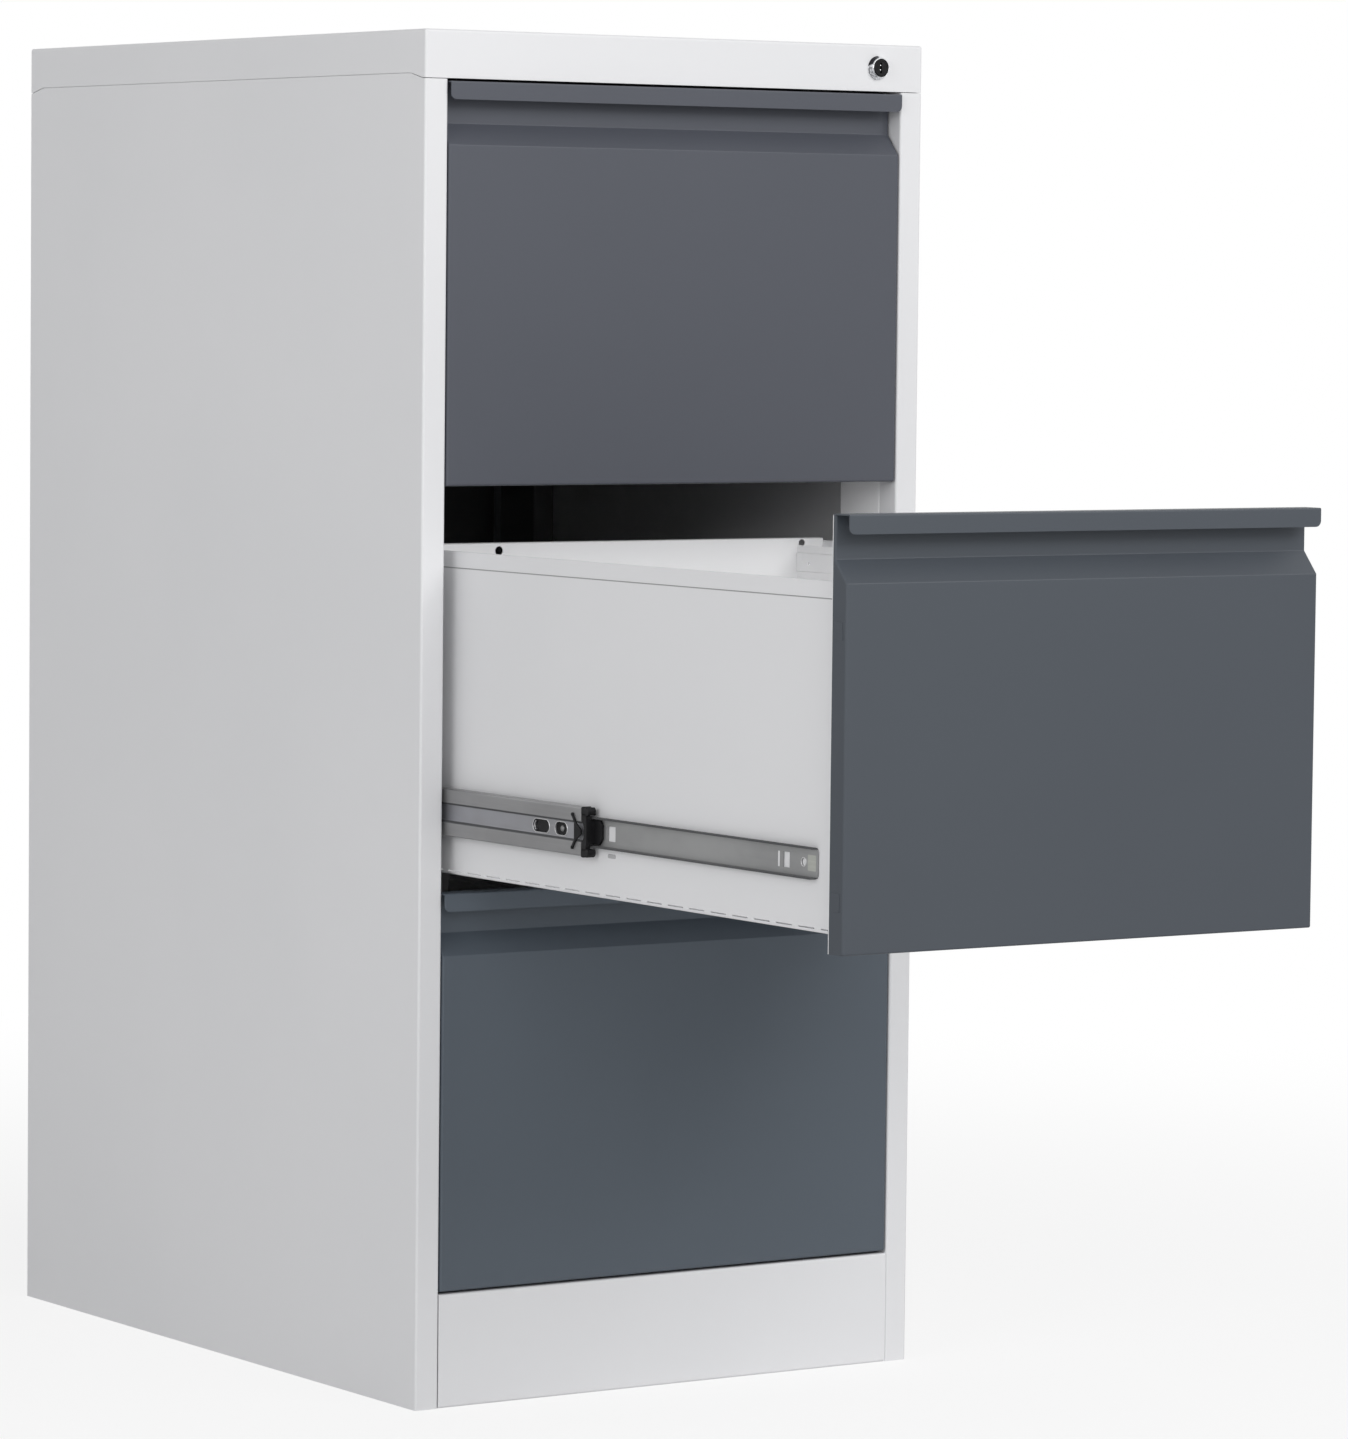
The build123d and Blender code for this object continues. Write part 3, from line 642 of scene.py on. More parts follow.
def bent(corners: Line, radius: Radii, steps: int = 6) -> np.ndarray:
    """Line through these corners with each inner corner rounded.

    Each arc touches both runs: its middle lies on the corner's bisector, the radius over the sine
    of half the corner's angle away, and its points turn evenly from one run to the other.

    Args:
        corners: points of the line.
        radius: one radius, or one for each inner corner.
        steps: points on each arc.

    Returns:
        Points of the rounded line.
    """
    line = np.asarray(corners, float)
    corner = line[1:-1]
    before, after = line[:-2] - corner, line[2:] - corner
    before /= np.linalg.norm(before, axis=1, keepdims=True)
    after /= np.linalg.norm(after, axis=1, keepdims=True)
    half = np.arccos(np.clip(np.sum(before * after, axis=1), -1.0, 1.0)) / 2
    radii = np.broadcast_to(np.asarray(radius, float), half.shape)
    bisector = before + after
    bisector /= np.linalg.norm(bisector, axis=1, keepdims=True)
    middle = corner + bisector * (radii / np.sin(half))[:, None]
    reach = (radii / np.tan(half))[:, None]
    start, end = corner + before * reach - middle, corner + after * reach - middle
    sweep = (np.pi - 2 * half)[:, None, None]
    share = np.linspace(0.0, 1.0, steps)[None, :, None]
    arcs = np.sin((1 - share) * sweep) * start[:, None] + np.sin(share * sweep) * end[:, None]
    arcs = middle[:, None] + arcs / np.sin(sweep)
    return np.concatenate([line[:1], arcs.reshape(-1, 2), line[-1:]])


def ribbon(line: np.ndarray, width: float) -> np.ndarray:
    """Outline of a band: the line moved half the width to each side along its normals.

    Args:
        line: points of the line.
        width: the band's width.

    Returns:
        Points of the closed outline.
    """
    along = np.gradient(line, axis=0)
    along /= np.linalg.norm(along, axis=1, keepdims=True)
    normal = np.stack([-along[:, 1], along[:, 0]], axis=1) * width / 2
    return np.concatenate([line + normal, (line - normal)[::-1]])


@dataclass
class Shape:
    """Vertices and faces of a surface worked out as whole arrays."""

    vertices: np.ndarray
    faces: list[tuple[int, ...]]

    @staticmethod
    def grid(
        points: np.ndarray, wrap: bool = False, keep: Optional[np.ndarray] = None
    ) -> "Shape":
        """Quads between neighbouring rows and columns of a grid of points.

        Args:
            points: array of rows by columns by 3.
            wrap: whether the last column meets the first.
            keep: array of rows and columns of quads, false where one is left out.

        Returns:
            The surface.
        """
        rows, columns = points.shape[:2]
        index = np.arange(rows * columns).reshape(rows, columns)
        if wrap:
            index = np.concatenate([index, index[:, :1]], axis=1)
        quads = [index[:-1, :-1], index[:-1, 1:], index[1:, 1:], index[1:, :-1]]
        quads = np.stack(quads, axis=-1)
        quads = quads.reshape(-1, 4) if keep is None else quads[keep]
        return Shape(points.reshape(-1, 3), [tuple(quad) for quad in quads.tolist()])

    def capped(self, count: int) -> "Shape":
        """Close a tube by a flat face over its first and its last row.

        Args:
            count: points in a row.

        Returns:
            The same surface, closed.
        """
        first, last = tuple(range(count)), len(self.vertices) - count
        self.faces += [first[::-1], tuple(last + corner for corner in first)]
        return self

    @staticmethod
    def prism(outline: np.ndarray, low: float, high: float, axis: Axis = Axis.X) -> "Shape":
        """A closed outline carried straight along an axis, with a flat face at each end.

        Args:
            outline: points of the outline on the two other axes, in their order X, Y, Z.
            low: lower end on the axis.
            high: upper end on the axis.
            axis: the axis it is carried along.

        Returns:
            The closed surface, facing outwards.
        """
        following = np.roll(outline, -1, axis=0)
        area = np.sum(outline[:, 0] * following[:, 1] - outline[:, 1] * following[:, 0])
        if (area < 0) != (axis is Axis.Y):
            outline = outline[::-1]
        ends = [np.insert(outline, axis.value, level, axis=1) for level in (low, high)]
        return Shape.grid(np.stack(ends), wrap=True).capped(len(outline))

    @staticmethod
    def plate(
        size: Vector2,
        radius: float,
        centre: Vector2,
        ends: Vector2,
        axis: Axis = Axis.X,
        steps: int = 6,
    ) -> "Shape":
        """An oblong plate with rounded corners.

        Args:
            size: its width and height.
            radius: radius of its corners.
            centre: its middle on the two axes across it.
            ends: its lower and upper face on the axis through it.
            axis: the axis through it.
            steps: points on each corner.

        Returns:
            The closed surface, facing outwards.
        """
        corners = np.array([(0, -1), (-1, -1), (-1, 1), (1, 1), (1, -1), (0, -1)])
        outline = bent(corners * size / 2, radius, steps)[:-1] + centre
        return Shape.prism(outline, *ends, axis)

    @staticmethod
    def turned(
        profile: np.ndarray, centre: Line, axis: Axis, count: int = 64, straight: float = 0.0
    ) -> "Shape":
        """A profile turned about an axis: radius times cosine and sine of the angle.

        Round a slot, the circle's halves are moved apart by its straight length; a steep tanh of
        the angle's cosine does the moving.

        Args:
            profile: points as (radius, place on the axis).
            centre: the axis's place on the two other axes.
            axis: the axis.
            count: steps round it.
            straight: half the slot's straight length.

        Returns:
            The surface, closed where its profile is.
        """
        angle = np.linspace(0.0, 2 * np.pi, count, endpoint=False)
        rings = profile[:, :1, None] * circle(angle)
        rings[..., 0] += straight * np.tanh(18 * np.cos(angle))
        return Shape.grid(np.insert(rings + centre, axis.value, profile[:, 1:], axis=-1), wrap=True)

    def both_sides(self) -> "Shape":
        """This surface and its mirror image on the other side of the cabinet."""
        other = Shape(self.vertices * (-1.0, 1.0, 1.0), [face[::-1] for face in self.faces])
        return self + other

    def __add__(self, other: "Shape") -> "Shape":
        """Both surfaces in one."""
        shift = len(self.vertices)
        faces = self.faces + [tuple(corner + shift for corner in face) for face in other.faces]
        return Shape(np.concatenate([self.vertices, other.vertices]), faces)

    def piece(
        self, name: str, finish: Finish, body: str, slot: str, *nodes: str
    ) -> bpy.types.Object:
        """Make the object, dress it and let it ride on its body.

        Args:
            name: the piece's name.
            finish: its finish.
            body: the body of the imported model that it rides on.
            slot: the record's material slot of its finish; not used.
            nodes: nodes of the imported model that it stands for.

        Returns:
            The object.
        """
        mesh = bpy.data.meshes.new(name)
        mesh.from_pydata(self.vertices.tolist(), [], self.faces)
        merge(mesh)
        mesh.polygons.foreach_set("use_smooth", np.ones(len(mesh.polygons), dtype=bool))
        obj = add_object(name, mesh)
        dress(obj, finish)
        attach(obj, body)
        if nodes:
            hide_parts(*nodes)
        LOG.info("%s: %d faces on %s", name, len(mesh.polygons), body)
        return obj


@dataclass
class Drawer:
    """One drawer's names and places: its base height and how far it stands out."""

    name: str
    base: float
    shift: float
    height: float = 300 * MM
    tray_half: float = 193.3 * MM
    slide_height: float = 59 * MM

    @property
    def body(self) -> str:
        """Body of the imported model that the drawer's pieces ride on."""
        return f"{self.name}_drawer"

    @property
    def top(self) -> float:
        """Height of the front's top edge."""
        return self.base + self.height

    @property
    def slide_z(self) -> float:
        """Height of the slides' middle."""
        return self.base + self.slide_height

    def across(self, distance: float) -> float:
        """X on the left slide that far outwards from the tray's wall."""
        return -self.tray_half - distance


@dataclass
class DrawerFront:
    """Grey pressed front: a pan with a recess and slope at its top, and a folded pull lip above."""

    drawer: Drawer
    half: float = 205 * MM
    face: float = -310 * MM
    depth: float = 16 * MM
    recess: float = 14 * MM
    recess_height: float = 31 * MM
    slope_height: float = 16 * MM
    seam: Vector2 = (0.05 * MM, 0.3 * MM)
    bends: Vector3 = (1.6 * MM, 1.4 * MM, 1.4 * MM)
    corner: float = 2 * MM
    flat_share: float = 0.96
    lip_reach: float = 3 * MM
    lip_height: float = 13.5 * MM
    lip_corner: float = 4.5 * MM
    lip_bend: float = 1.2 * MM
    rear_drop: float = 12 * MM
    sheet: float = 1 * MM
    tab_size: Vector2 = (8.5 * MM, 13 * MM)
    tab_radius: float = 1.2 * MM
    tab_heights: Vector2 = (36 * MM, 220.5 * MM)
    tab_setback: float = 8.2 * MM
    tab_proud: float = 0.4 * MM

    def build(self) -> None:
        """Build the pressed sheet with its lip and tabs."""
        body = self.drawer.body
        name = f"{self.drawer.name}_drawer_front"
        coat = GREY_COATS_WITH_PAINTED_LIGHT[self.drawer.name]
        shape = self.pan() + self.lip()
        obj = shape.piece(f"{name}_pressed", coat, body, "grey_paint", name)
        thicken(obj, self.sheet)
        soften(obj, 0.22 * MM)
        soften(self.tabs().piece(f"{name}_tabs", coat, body, "grey_paint"), 0.3 * MM)

    def pan(self) -> Shape:
        """The pan: a bent section in Y and Z carried across X, turned back at each side.

        Each row of the section gives the front's place at that height. Across the row the surface
        runs from the rear edge forward along the side, round a quarter circle, straight across and
        back again.
        """
        drawer = self.drawer
        face = self.face + drawer.shift
        rear = face + self.depth
        wall = face + self.recess
        corners = [
            (rear - self.seam[0], drawer.base),
            (face, drawer.base),
            (face, drawer.top - self.recess_height - self.slope_height),
            (wall, drawer.top - self.recess_height),
            (wall, drawer.top - self.seam[1]),
        ]
        section = bent(corners, self.bends)
        row_y, row_z = section[:, :1], section[:, 1:]
        radius = np.minimum(self.corner, rear - row_y)
        turn = np.linspace(0.0, np.pi / 2, 7)
        side_x = -self.half + radius * (1 - np.cos(turn))
        side_y = row_y + radius * (1 - np.sin(turn))
        end_x, end_y = np.full_like(row_y, self.half), np.full_like(row_y, rear)
        share = np.linspace(-self.flat_share, self.flat_share, 25)
        flat_x = np.broadcast_to(share * self.half, (len(section), len(share)))
        flat_y = np.broadcast_to(row_y, flat_x.shape)
        x = np.concatenate([-end_x, side_x, flat_x, -side_x[:, ::-1], end_x], axis=1)
        y = np.concatenate([end_y, side_y, flat_y, side_y[:, ::-1], end_y], axis=1)
        return Shape.grid(np.stack([x, y, np.broadcast_to(row_z, x.shape)], axis=-1))

    def lip(self) -> Shape:
        """The lip: a bent channel carried across X, drawn in round its front's lower corners.

        The half width at a height above the lip's lower edge follows a quarter circle until the
        corner's radius is reached.
        """
        top = self.drawer.top
        front = self.face - self.lip_reach + self.drawer.shift
        rear = self.face + self.depth + self.drawer.shift
        low = top - self.lip_height
        rise = self.lip_corner * (1 - np.cos(np.linspace(0.0, np.pi / 2, 9)))
        start = np.stack([np.full_like(rise, front), low + rise], axis=1)
        corners = [tuple(start[-1]), (front, top), (rear, top), (rear, top - self.rear_drop)]
        section = np.concatenate([start[:-1], bent(corners, self.lip_bend)])
        across, up = section[:, :1], section[:, 1:]
        at_front = across < front + 0.1 * MM
        short = np.clip(self.lip_corner - (up - low), 0.0, None) * at_front
        drawn_in = np.sqrt(np.clip(self.lip_corner**2 - short**2, 0.0, None))
        x = np.linspace(-1.0, 1.0, 33) * (self.half - self.lip_corner + drawn_in)
        y, z = np.broadcast_to(across, x.shape), np.broadcast_to(up, x.shape)
        return Shape.grid(np.stack([x, y, z], axis=-1))

    def tabs(self) -> Shape:
        """Two small tabs bent flat against the left side return."""
        y = self.face + self.drawer.shift + self.tab_setback
        ends = (-self.half - self.tab_proud, -self.half + self.sheet / 2)
        lower, upper = (
            Shape.plate(self.tab_size, self.tab_radius, (y, self.drawer.base + height), ends)
            for height in self.tab_heights
        )
        return lower + upper


@dataclass
class DrawerTray:
    """White tray: floor and sides in one folded sheet, slotted fold, hemmed rims and end tabs."""

    drawer: Drawer
    front: float = -293 * MM
    rear: float = 292 * MM
    floor: float = 11.5 * MM
    height: float = 242 * MM
    sheet: float = 1 * MM
    bend: float = 2 * MM
    hem_height: float = 12 * MM
    hem_proud: float = 0.6 * MM
    hem_thickness: float = 2.6 * MM
    hem_leaf: float = 0.8 * MM
    hem_gap: float = 0.9 * MM
    hem_play: float = 0.15 * MM
    wall_in_hem: float = 1.5 * MM
    tab: float = 12 * MM
    slot_band: Vector2 = (2.2 * MM, 3.1 * MM)
    slot_start: float = 6 * MM
    slot_pitch: float = 27 * MM
    slot_length: float = 19.5 * MM
    lance_size: Vector3 = (10 * MM, 3 * MM, 0.5 * MM)
    lance_radius: float = 1.3 * MM
    lance_place: Vector2 = (-5.8 * MM, -16.2 * MM)

    def build(self) -> None:
        """Build the folded sheet, its rims and its small pressings."""
        name = f"{self.drawer.name}_drawer_tray"
        body = self.drawer.body
        shell = self.shell().piece(f"{name}_shell", TRAY_COAT, body, "white_paint", name)
        thicken(shell, self.sheet)
        soften(shell, 0.15 * MM, 1)
        rims = (self.hem() + self.end_tab()).both_sides()
        soften(rims.piece(f"{name}_rims", WHITE_COAT, body, "white_paint"), 0.1 * MM)
        # The lances wear the mid grey: painted shade.
        lances = self.lance().both_sides()
        soften(lances.piece(f"{name}_lances", LANCE_PAINTED_SHADE_COAT, body, "white_paint"), 0.25 * MM)

    @property
    def base(self) -> float:
        """Height of the tray's underside."""
        return self.drawer.base + self.floor

    def shell(self) -> Shape:
        """Folded sheet: a bent U carried along Y, with quads left out at the fold's slots."""
        side, floor = self.drawer.across(0.0), self.base
        rim = floor + self.height - self.hem_height + self.wall_in_hem
        low, high = floor + self.slot_band[0], floor + self.slot_band[1]
        fold = bent([(side, low), (side, floor), (0.0, floor)], self.bend)[1:-1]
        left = np.concatenate([[(side, rim), (side, high), (side, low)], fold])
        right = left[::-1] * (-1, 1)
        across = np.linspace(left[-1], right[0], 12)[1:-1]
        section = np.concatenate([left, across, right])
        first, last = self.front + self.slot_start, self.rear - self.slot_length
        starts = np.arange(first, last, self.slot_pitch)
        cuts = np.stack([starts, starts + self.slot_length], axis=1).reshape(-1)
        along = np.concatenate([[self.front], cuts, [self.rear]]) + self.drawer.shift
        x, y = np.meshgrid(section[:, 0], along)
        z = np.broadcast_to(section[:, 1], x.shape)
        keep = np.ones((len(along) - 1, len(section) - 1), dtype=bool)
        keep[1:-1:2, [1, -2]] = False
        return Shape.grid(np.stack([x, y, z], axis=-1)[:, ::-1], keep=keep[:, ::-1])

    def hem(self) -> Shape:
        """Left rim: the sheet rolled over to both sides of the wall, carried along Y."""
        shift = self.drawer.shift
        rim = self.base + self.height
        low = rim - self.hem_height
        outer = self.drawer.across(self.hem_proud)
        inner = outer + self.hem_thickness
        leaf, wall = inner - self.hem_leaf, self.drawer.across(-self.hem_play)
        start = (inner, low + 2 * MM)
        ring = [start, (inner, low), (leaf, low), (leaf, low + self.hem_gap)]
        ring += [(wall, low + self.hem_gap), (wall, low)]
        ring += [(outer, low), (outer, rim), (inner, rim), start]
        radii = np.array([0.35, 0.2, 0.2, 0.2, 0.15, 0.22, 1.1, 1.1]) * MM
        outline = bent(ring, radii, 5)[:-1]
        return Shape.prism(outline, self.front + shift, self.rear + shift, Axis.Y)

    def end_tab(self) -> Shape:
        """Left front flange of the tray, bent in behind the drawer front."""
        inner = self.drawer.across(-self.sheet)
        end = inner + self.tab
        floor = self.base + self.sheet
        top = self.base + self.height - self.hem_height - self.hem_proud
        start = (inner, floor + 1 * MM)
        ring = [start, (inner, floor), (end, floor), (end, top), (inner, top), start]
        outline = bent(ring, [0.1 * MM, 3 * MM, 3 * MM, 0.1 * MM], 5)[:-1]
        front = self.front + self.drawer.shift
        return Shape.prism(outline, front, front + self.sheet, Axis.Y)

    def lance(self) -> Shape:
        """Small oblong bridge pressed out of the left side under the slide."""
        drawer = self.drawer
        length, tall, proud = self.lance_size
        place = (drawer.shift + self.lance_place[0], drawer.slide_z + self.lance_place[1])
        ends = (drawer.across(proud), drawer.across(-self.sheet / 2))
        return Shape.plate((length, tall), self.lance_radius, place, ends)


@dataclass
class EndStops:
    """Black moulded stops on the front ends of both middle members, with springs and rivets.

    Outlines are in millimetres behind the stop's rear edge and above the slide's middle. Spans,
    the member's web and the rivet's start are measured outwards from the tray's wall. The burr is
    a closed line of (distance from a slot's edge, height on the web), in millimetres.
    """

    drawer: Drawer
    rear: float = -238 * MM
    shadow_tongue_span: Vector2 = (1.5 * MM, 3.4 * MM)
    neck_span: Vector2 = (1.6 * MM, 6.7 * MM)
    lug_span: Vector2 = (3.6 * MM, 10.4 * MM)
    waist_span: Vector2 = (6.4 * MM, 10.4 * MM)
    leaf_span: Vector2 = (6.2 * MM, 6.5 * MM)
    spring_web_span: Vector2 = (10.1 * MM, 10.7 * MM)
    spring_span: Vector2 = (10.1 * MM, 11.3 * MM)
    crescent_span: Vector2 = (6.45 * MM, 7.7 * MM)
    web: float = 7.8 * MM
    rivet_start: float = 6.4 * MM
    rivet_size: Vector2 = (2.3 * MM, 1.3 * MM)
    slot_radius: float = 4.7 * MM
    slots: tuple[Vector2, ...] = ((30 * MM, 3.3 * MM), (57 * MM, 6.3 * MM))
    burr: tuple[Vector2, ...] = (
        (-0.03, 0.0), (0.05, 0.18), (0.3, 0.24), (0.55, 0.12),
        (0.62, 0.0), (0.62, -0.05), (-0.03, -0.05), (-0.03, 0.0),
    )

    def build(self) -> None:
        """Build stops, springs and rivets for both slides."""
        name = f"{self.drawer.name}_slide"
        body, node = f"{name}_middle_members", f"{name}_end_stops"
        # The tongue is painted shade: a dark piece in the drawer member's channel.
        stop = self.lugs() + self.waist() + self.spring() + self.shadow_tongue() + self.leaf()
        stops = stop.both_sides().piece(f"{node}_moulded", BLACK, body, "black_plastic", node)
        soften(stops, 0.35 * MM, joined=True)
        burrs = (self.burrs() + self.crescent()).both_sides()
        soften(burrs.piece(f"{name}_slot_burrs", BURR, body, "zinc_steel"), 0.05 * MM, 1)
        rivets = self.rivet().both_sides()
        soften(rivets.piece(f"{name}_rivets", RIVET, body, "zinc_steel"), 0.05 * MM, 1)

    def middle(self, behind: float = 0.0) -> np.ndarray:
        """Y and Z on the slide's middle line, that far behind the stop's rear edge."""
        return np.array([self.rear + behind + self.drawer.shift / 2, self.drawer.slide_z])

    def carried(self, outline: np.ndarray, span: Vector2) -> Shape:
        """An outline in Y and Z carried across the left slide, over a span from the tray's wall."""
        return Shape.prism(outline, self.drawer.across(span[1]), self.drawer.across(span[0]))

    def block(self, line: Line, radius: Radii, span: Vector2) -> Shape:
        """Rounded closed outline carried across the slide.

        Args:
            line: its corners, in millimetres.
            radius: one radius in millimetres, or one for each corner.
            span: its start and end outwards from the tray's wall.

        Returns:
            The closed surface, facing outwards.
        """
        ring = np.array(line) * MM
        first = (ring[:1] + ring[-1:]) / 2
        radii = np.broadcast_to(np.array(radius) * MM, (len(ring),))
        outline = bent(np.concatenate([first, ring, first]), radii, 5)[:-1]
        return self.carried(outline + self.middle(), span)

    def lugs(self) -> Shape:
        """Upper and lower lug: blocks with a wavy outer edge."""
        upper = [(-9.6, 12.3), (-10, 16.2), (-7.6, 18.3), (-6, 17.2)]
        upper += [(-4.4, 17.2), (-3, 18.5), (-0.4, 18), (-0.4, 12.3)]
        radii = [1.2, 1.8, 0.8, 0.9, 0.9, 0.8, 1.2, 1.2]
        lower = [(y, -z) for y, z in upper]
        return self.block(upper, radii, self.lug_span) + self.block(lower, radii, self.lug_span)

    def waist(self) -> Shape:
        """Bar between the lugs, drawn in at the middle of its rear edge."""
        front = [(-6.6, -13.3), (-7.4, -5), (-7.4, 5), (-6.6, 13.3)]
        rear = [(-1.2, 13.3), (-1.6, 9), (-4.2, 3.2), (-4.2, -3.2), (-1.6, -9), (-1.2, -13.3)]
        radii = [0.3, 4, 4, 0.3, 0.3, 4, 4, 4, 4, 0.3]
        return self.block(front + rear, radii, self.waist_span)

    def spring(self) -> Shape:
        """Detent spring: two curved arms with round ends that open to the rear, and a web."""
        arm = bent(np.array([(-1.2, 0.5), (6.6, 6.2), (10.6, 12.0)]) * MM, 6 * MM, 8)
        knob = arm[-1] + 1.3 * MM * circle(np.linspace(0, 2 * np.pi, 20, endpoint=False))
        web = [(-1.6, -0.7), (-1.6, 0.7), (8.6, 6.6), (8.6, -6.6)]
        shape = self.block(web, 0.5, self.spring_web_span)
        for side in ((1, 1), (1, -1)):
            for outline in (ribbon(arm, 1.9 * MM), knob):
                shape += self.carried(outline * side + self.middle(), self.spring_span)
        return shape

    def shadow_tongue(self) -> Shape:
        """Black tongue ahead of the stop in the drawer member's channel, and its neck: painted
        shade, a dark piece where the channel lies in shade.
        """
        plate = [(-17, -4.5), (-17, 6), (-14.5, 9), (-4, 9), (-4, -9), (-13, -9)]
        neck = [(-7, -8.6), (-7, 8.6), (-4.6, 8.6), (-4.6, -8.6)]
        return self.block(plate, 1.2, self.shadow_tongue_span) + self.block(neck, 0.5, self.neck_span)

    def leaf(self) -> Shape:
        """Thin leaf of the stop behind the middle member's web, seen through its two slots."""
        return self.block([(-6, -5.4), (-6, 5.4), (71, 5.4), (71, -5.4)], 1, self.leaf_span)

    def rivet(self) -> Shape:
        """Domed rivet in the front slot: height over radius is a quarter ellipse."""
        radius, height = self.rivet_size
        rise = np.linspace(0.98, 0.0, 8) * np.pi / 2
        x = self.drawer.across(self.rivet_start + height * np.sin(rise))
        profile = np.stack([radius * np.cos(rise), x], axis=1)
        return Shape.turned(profile, self.middle(self.slots[0][0]), Axis.X, 32).capped(32)

    def burrs(self) -> Shape:
        """Bright burr round each of the member's slots, raised on its web."""
        profile = np.array(self.burr) * (MM, -MM)
        profile += (self.slot_radius, self.drawer.across(self.web))
        front, rear = (
            Shape.turned(profile, self.middle(behind), Axis.X, straight=straight)
            for behind, straight in self.slots
        )
        return front + rear

    def crescent(self) -> Shape:
        """Thin bright arc in the long slot's rear end: the edge of the leaf's pressed stop."""
        behind, straight = self.slots[1]
        line = 3.5 * MM * circle(np.linspace(-1.15, 1.15, 20))
        line = line + self.middle(behind + straight - 0.6 * MM)
        return self.carried(ribbon(line, 0.6 * MM), self.crescent_span)


@dataclass
class MemberEnds:
    """Front ends of both drawer members: the tray's hooks, pressed pads and screw holes' rims.

    Hook and pad are given by the distance of their middle from the member's front end, their width
    and their height; the hole by its distance from that end and its radius. The rim is a closed
    line of (distance from the hole's edge, height on the web), in millimetres.
    """

    drawer: Drawer
    front: float = -265 * MM
    web: float = 1.2 * MM
    proud: float = 0.15 * MM
    hook: Vector3 = (46.6 * MM, 1.9 * MM, 10.8 * MM)
    pad: Vector3 = (6.8 * MM, 9.6 * MM, 11.0 * MM)
    hole: Vector2 = (17.0 * MM, 2.6 * MM)
    rim: tuple[Vector2, ...] = (
        (-0.02, -0.045), (-0.02, -0.0075), (0.1, 0.15), (0.5, 0.12),
        (0.8, 0.0), (0.8, -0.045), (-0.02, -0.045),
    )

    def build(self) -> None:
        """Build hooks, pads and rims for both slides."""
        name, body = f"{self.drawer.name}_drawer", self.drawer.body
        hooks = self.plate(self.hook, 0.3 * MM, -0.4 * MM).both_sides()
        soften(hooks.piece(f"{name}_tray_hooks", WHITE_COAT, body, "white_paint"), 0.06 * MM)
        pads = self.plate(self.pad, 0.8 * MM, self.web - 0.2 * MM).both_sides()
        soften(pads.piece(f"{name}_member_pads", PAD, body, "zinc_steel"), 0.06 * MM)
        behind, radius = self.hole
        profile = np.array(self.rim) * (MM, -MM) + (radius, self.drawer.across(self.web))
        rims = Shape.turned(profile, self.middle(behind), Axis.X, 40).both_sides()
        rims.piece(f"{name}_member_rims", BURR, body, "zinc_steel")

    def middle(self, behind: float) -> np.ndarray:
        """Y and Z on the slide's middle line, that far behind the member's front end."""
        return np.array([self.front + self.drawer.shift + behind, self.drawer.slide_z])

    def plate(self, place: Vector3, radius: float, start: float) -> Shape:
        """Rounded plate on the left member's web.

        Args:
            place: distance of its middle from the member's front end, its width and its height.
            radius: radius of its corners.
            start: where it starts, outwards from the tray's wall.

        Returns:
            The closed surface, facing outwards.
        """
        ends = (self.drawer.across(self.web + self.proud), self.drawer.across(start))
        return Shape.plate(place[1:], radius, self.middle(place[0]), ends)


@dataclass
class Lock:
    """Cam lock in the top rail: a plated bezel, and a collar and wafers on the plug's face.

    Bezel and collar are closed profiles of (radius, Y) in millimetres, Y from the rail's face and
    from the plug's face.
    """

    rail: float = -310 * MM
    proud: float = 5 * MM
    plug_inset: float = 0.5 * MM
    bezel: tuple[Vector2, ...] = (
        (6.9, 24.0), (7.98, 24.0), (7.98, -0.02), (9.22, -0.02), (9.22, -0.35),
        (9.1, -0.7), (8.75, -1.2), (7.75, -4.0), (7.5, -4.7), (7.3, -4.95),
        (7.1, -4.9), (6.9, -4.4), (6.9, 24.0),
    )
    collar: tuple[Vector2, ...] = (
        (6.3, 0.1), (6.25, -0.15), (5.9, -0.32), (5.4, -0.3),
        (5.1, -0.1), (4.95, 0.1), (6.3, 0.1),
    )
    wafer_size: Vector2 = (1.4 * MM, 0.8 * MM)
    wafer_depths: Vector2 = (0.6 * MM, 1.4 * MM)
    wafer_heights: Vector2 = (1.9 * MM, -1.6 * MM)

    def build(self) -> None:
        """Build bezel, collar and wafers."""
        bezel = Shape.turned(np.array(self.bezel) * MM + (0.0, self.rail), LOCK_CENTRE, Axis.Y)
        bezel = bezel.piece("lock_bezel_turned", BEZEL, "carcass", "chrome", "lock_housing")
        soften(bezel, 0.1 * MM)
        face = self.rail - self.proud + self.plug_inset
        collar = Shape.turned(np.array(self.collar) * MM + (0.0, face), LOCK_CENTRE, Axis.Y)
        soften(collar.piece("lock_plug_collar", PLUG, "lock_plug", "lock_black"), 0.05 * MM)
        upper, lower = (self.wafer(height, face) for height in self.wafer_heights)
        soften((upper + lower).piece("lock_wafers", CHROME, "lock_plug", "chrome"), 0.1 * MM)

    def wafer(self, height: float, face: float) -> Shape:
        """Small plate set back in the keyway.

        Args:
            height: its height from the lock's middle.
            face: Y of the plug's face.

        Returns:
            The closed surface, facing outwards.
        """
        centre = (LOCK_CENTRE[0], LOCK_CENTRE[1] + height)
        ends = (face + self.wafer_depths[0], face + self.wafer_depths[1])
        return Shape.plate(self.wafer_size, 0.2 * MM, centre, ends, Axis.Y, 3)


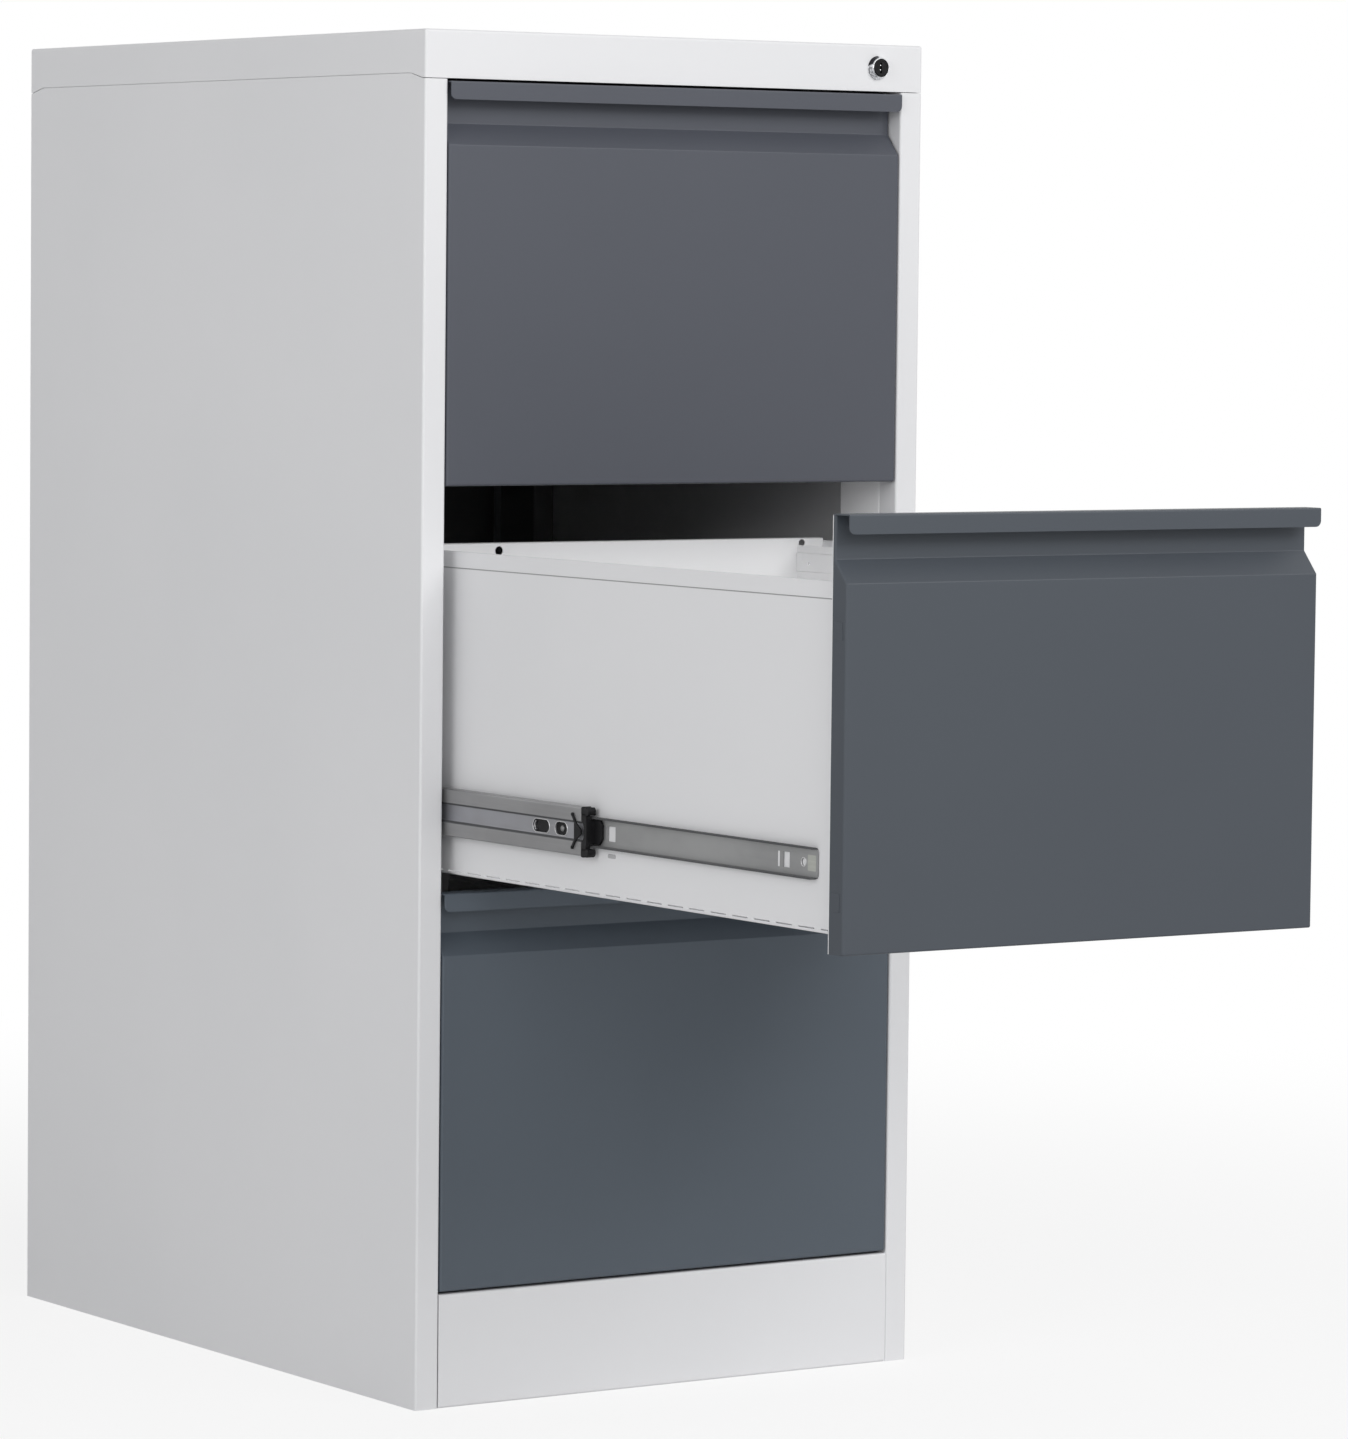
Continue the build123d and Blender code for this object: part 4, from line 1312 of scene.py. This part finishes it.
@dataclass(frozen=True)
class Softbox:
    """Area lamp that faces a target; its size is its width and height and its power in watts."""

    name: str
    place: Vector3
    target: Vector3
    size: Vector2
    power: float

    def build(self) -> None:
        """Add the lamp, turned from the target with its right axis level."""
        data = bpy.data.lights.new(self.name, "AREA")
        data.shape = "RECTANGLE"
        data.size, data.size_y = self.size
        data.energy = self.power
        back = np.array(self.place) - np.array(self.target)
        back /= np.linalg.norm(back)
        right = np.cross([0.0, 0.0, 1.0], back)
        right /= np.linalg.norm(right)
        matrix = facing(right, np.cross(back, right), back, self.place)
        add_object(self.name, data).matrix_world = matrix


@dataclass
class Studio:
    """Camera at the photograph's place, soft lamps, pale floor and a white surround."""

    image_size: tuple[int, int] = (1348, 1439)
    focal_pixels: float = 6291.5
    yaw: float = 33.729
    pitch: float = 3.978
    roll: float = 0.605
    eye: Vector3 = (-2.65825, -4.29218, 0.84527)
    floor_half: float = 60.0
    surround_colour: Colour = (0.985, 0.99, 1.0)
    surround: float = 0.38
    white: Colour = (1.0, 1.0, 1.0)
    lamps: tuple[Softbox, ...] = (
        Softbox("key", (1.5, -4.2, 3.0), (0.0, -0.3, 0.55), (2.8, 2.0), 87.0),
        Softbox("front fill", (-1.6, -4.6, 2.2), (0.0, -0.3, 0.55), (2.0, 1.8), 40.0),
        Softbox("side fill", (-4.4, -2.0, 1.9), (0.0, 0.0, 0.6), (2.4, 2.4), 52.0),
    )

    def build(self) -> None:
        """Build camera, surround, floor and lamps."""
        self.camera()
        self.world()
        self.floor()
        for lamp in self.lamps:
            lamp.build()
        bpy.context.scene.view_settings.view_transform = "Standard"

    def camera(self) -> None:
        """Place the camera: it looks along yaw and pitch, its right and up turned by the roll."""
        yaw, pitch, roll = (math.radians(angle) for angle in (self.yaw, self.pitch, self.roll))
        level = math.cos(pitch)
        forward = np.array([math.sin(yaw) * level, math.cos(yaw) * level, -math.sin(pitch)])
        side = np.array([math.cos(yaw), -math.sin(yaw), 0.0])
        above = np.cross(side, forward)
        right = math.cos(roll) * side + math.sin(roll) * above
        up = math.cos(roll) * above - math.sin(roll) * side
        data = bpy.data.cameras.new("camera")
        data.sensor_width = 36.0
        data.lens = self.focal_pixels / max(self.image_size) * data.sensor_width
        data.clip_end = 200.0
        obj = add_object("camera", data)
        obj.matrix_world = facing(right, up, -forward, self.eye)
        bpy.context.scene.camera = obj

    def world(self) -> None:
        """White to the camera and in reflections, a soft even light otherwise."""
        world = bpy.data.worlds.new("surround")
        bpy.context.scene.world = world
        world.use_nodes = True
        graph = Graph(world.node_tree)
        path = graph.node("ShaderNodeLightPath")
        rays = ("Is Camera Ray", "Is Glossy Ray", "Is Transmission Ray")
        seen, reflected, through = (graph.value(path, ray) for ray in rays)
        share = (seen + reflected + through).clamped()
        inputs = {"Color": self.surround_colour, "Strength": self.surround}
        light = graph.node("ShaderNodeBackground", inputs=inputs)
        white = graph.node("ShaderNodeBackground", inputs={"Color": self.white, "Strength": 1.0})
        both = graph.mixed(share, light, white)
        graph.node("ShaderNodeOutputWorld", inputs={"Surface": both})

    def floor(self) -> None:
        """Lay the floor, far wider than the picture."""
        corners = np.array([[-1, -1, 0], [1, -1, 0], [1, 1, 0], [-1, 1, 0]]) * self.floor_half
        mesh = bpy.data.meshes.new("floor")
        mesh.from_pydata(corners.tolist(), [], [(0, 1, 2, 3)])
        obj = add_object("floor", mesh)
        dress(obj, FLOOR)


def dress_frame() -> None:
    """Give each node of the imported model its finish: one of its own, or its material slot's."""
    for part in frame["record"]["subparts"]:
        node, slot = part["node"], part["material_slot"]
        if node in REAR_NODES:
            finish = BACK_COAT
        elif node.endswith("slide_drawer_member"):
            finish = DRAWER_STRIP
        elif node.endswith("slide_middle_member"):
            finish = MIDDLE_STRIP
        # Inner pieces get the brighter white: painted light.
        elif slot == "white_paint" and any(word in node for word in INNER_NODES):
            finish = INNER_PAINTED_LIGHT_COAT
        else:
            finish = FINISH_OF_SLOT[slot]
        dress(frame["nodes"][node], finish)


def main() -> None:
    """Build the scene and report each piece."""
    logging.basicConfig(level=logging.INFO, format="%(message)s")
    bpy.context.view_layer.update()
    Studio().build()
    dress_frame()
    LOG.info("frame dressed")
    bottom = Drawer("bottom", 88 * MM, 0.0)
    middle = Drawer("middle", 390 * MM, -516 * MM)
    top = Drawer("top", 692 * MM, 0.0)
    for drawer in (bottom, middle, top):
        DrawerFront(drawer).build()
        DrawerTray(drawer).build()
        EndStops(drawer).build()
        MemberEnds(drawer).build()
    Lock().build()


if __name__ == "__main__":
    main()
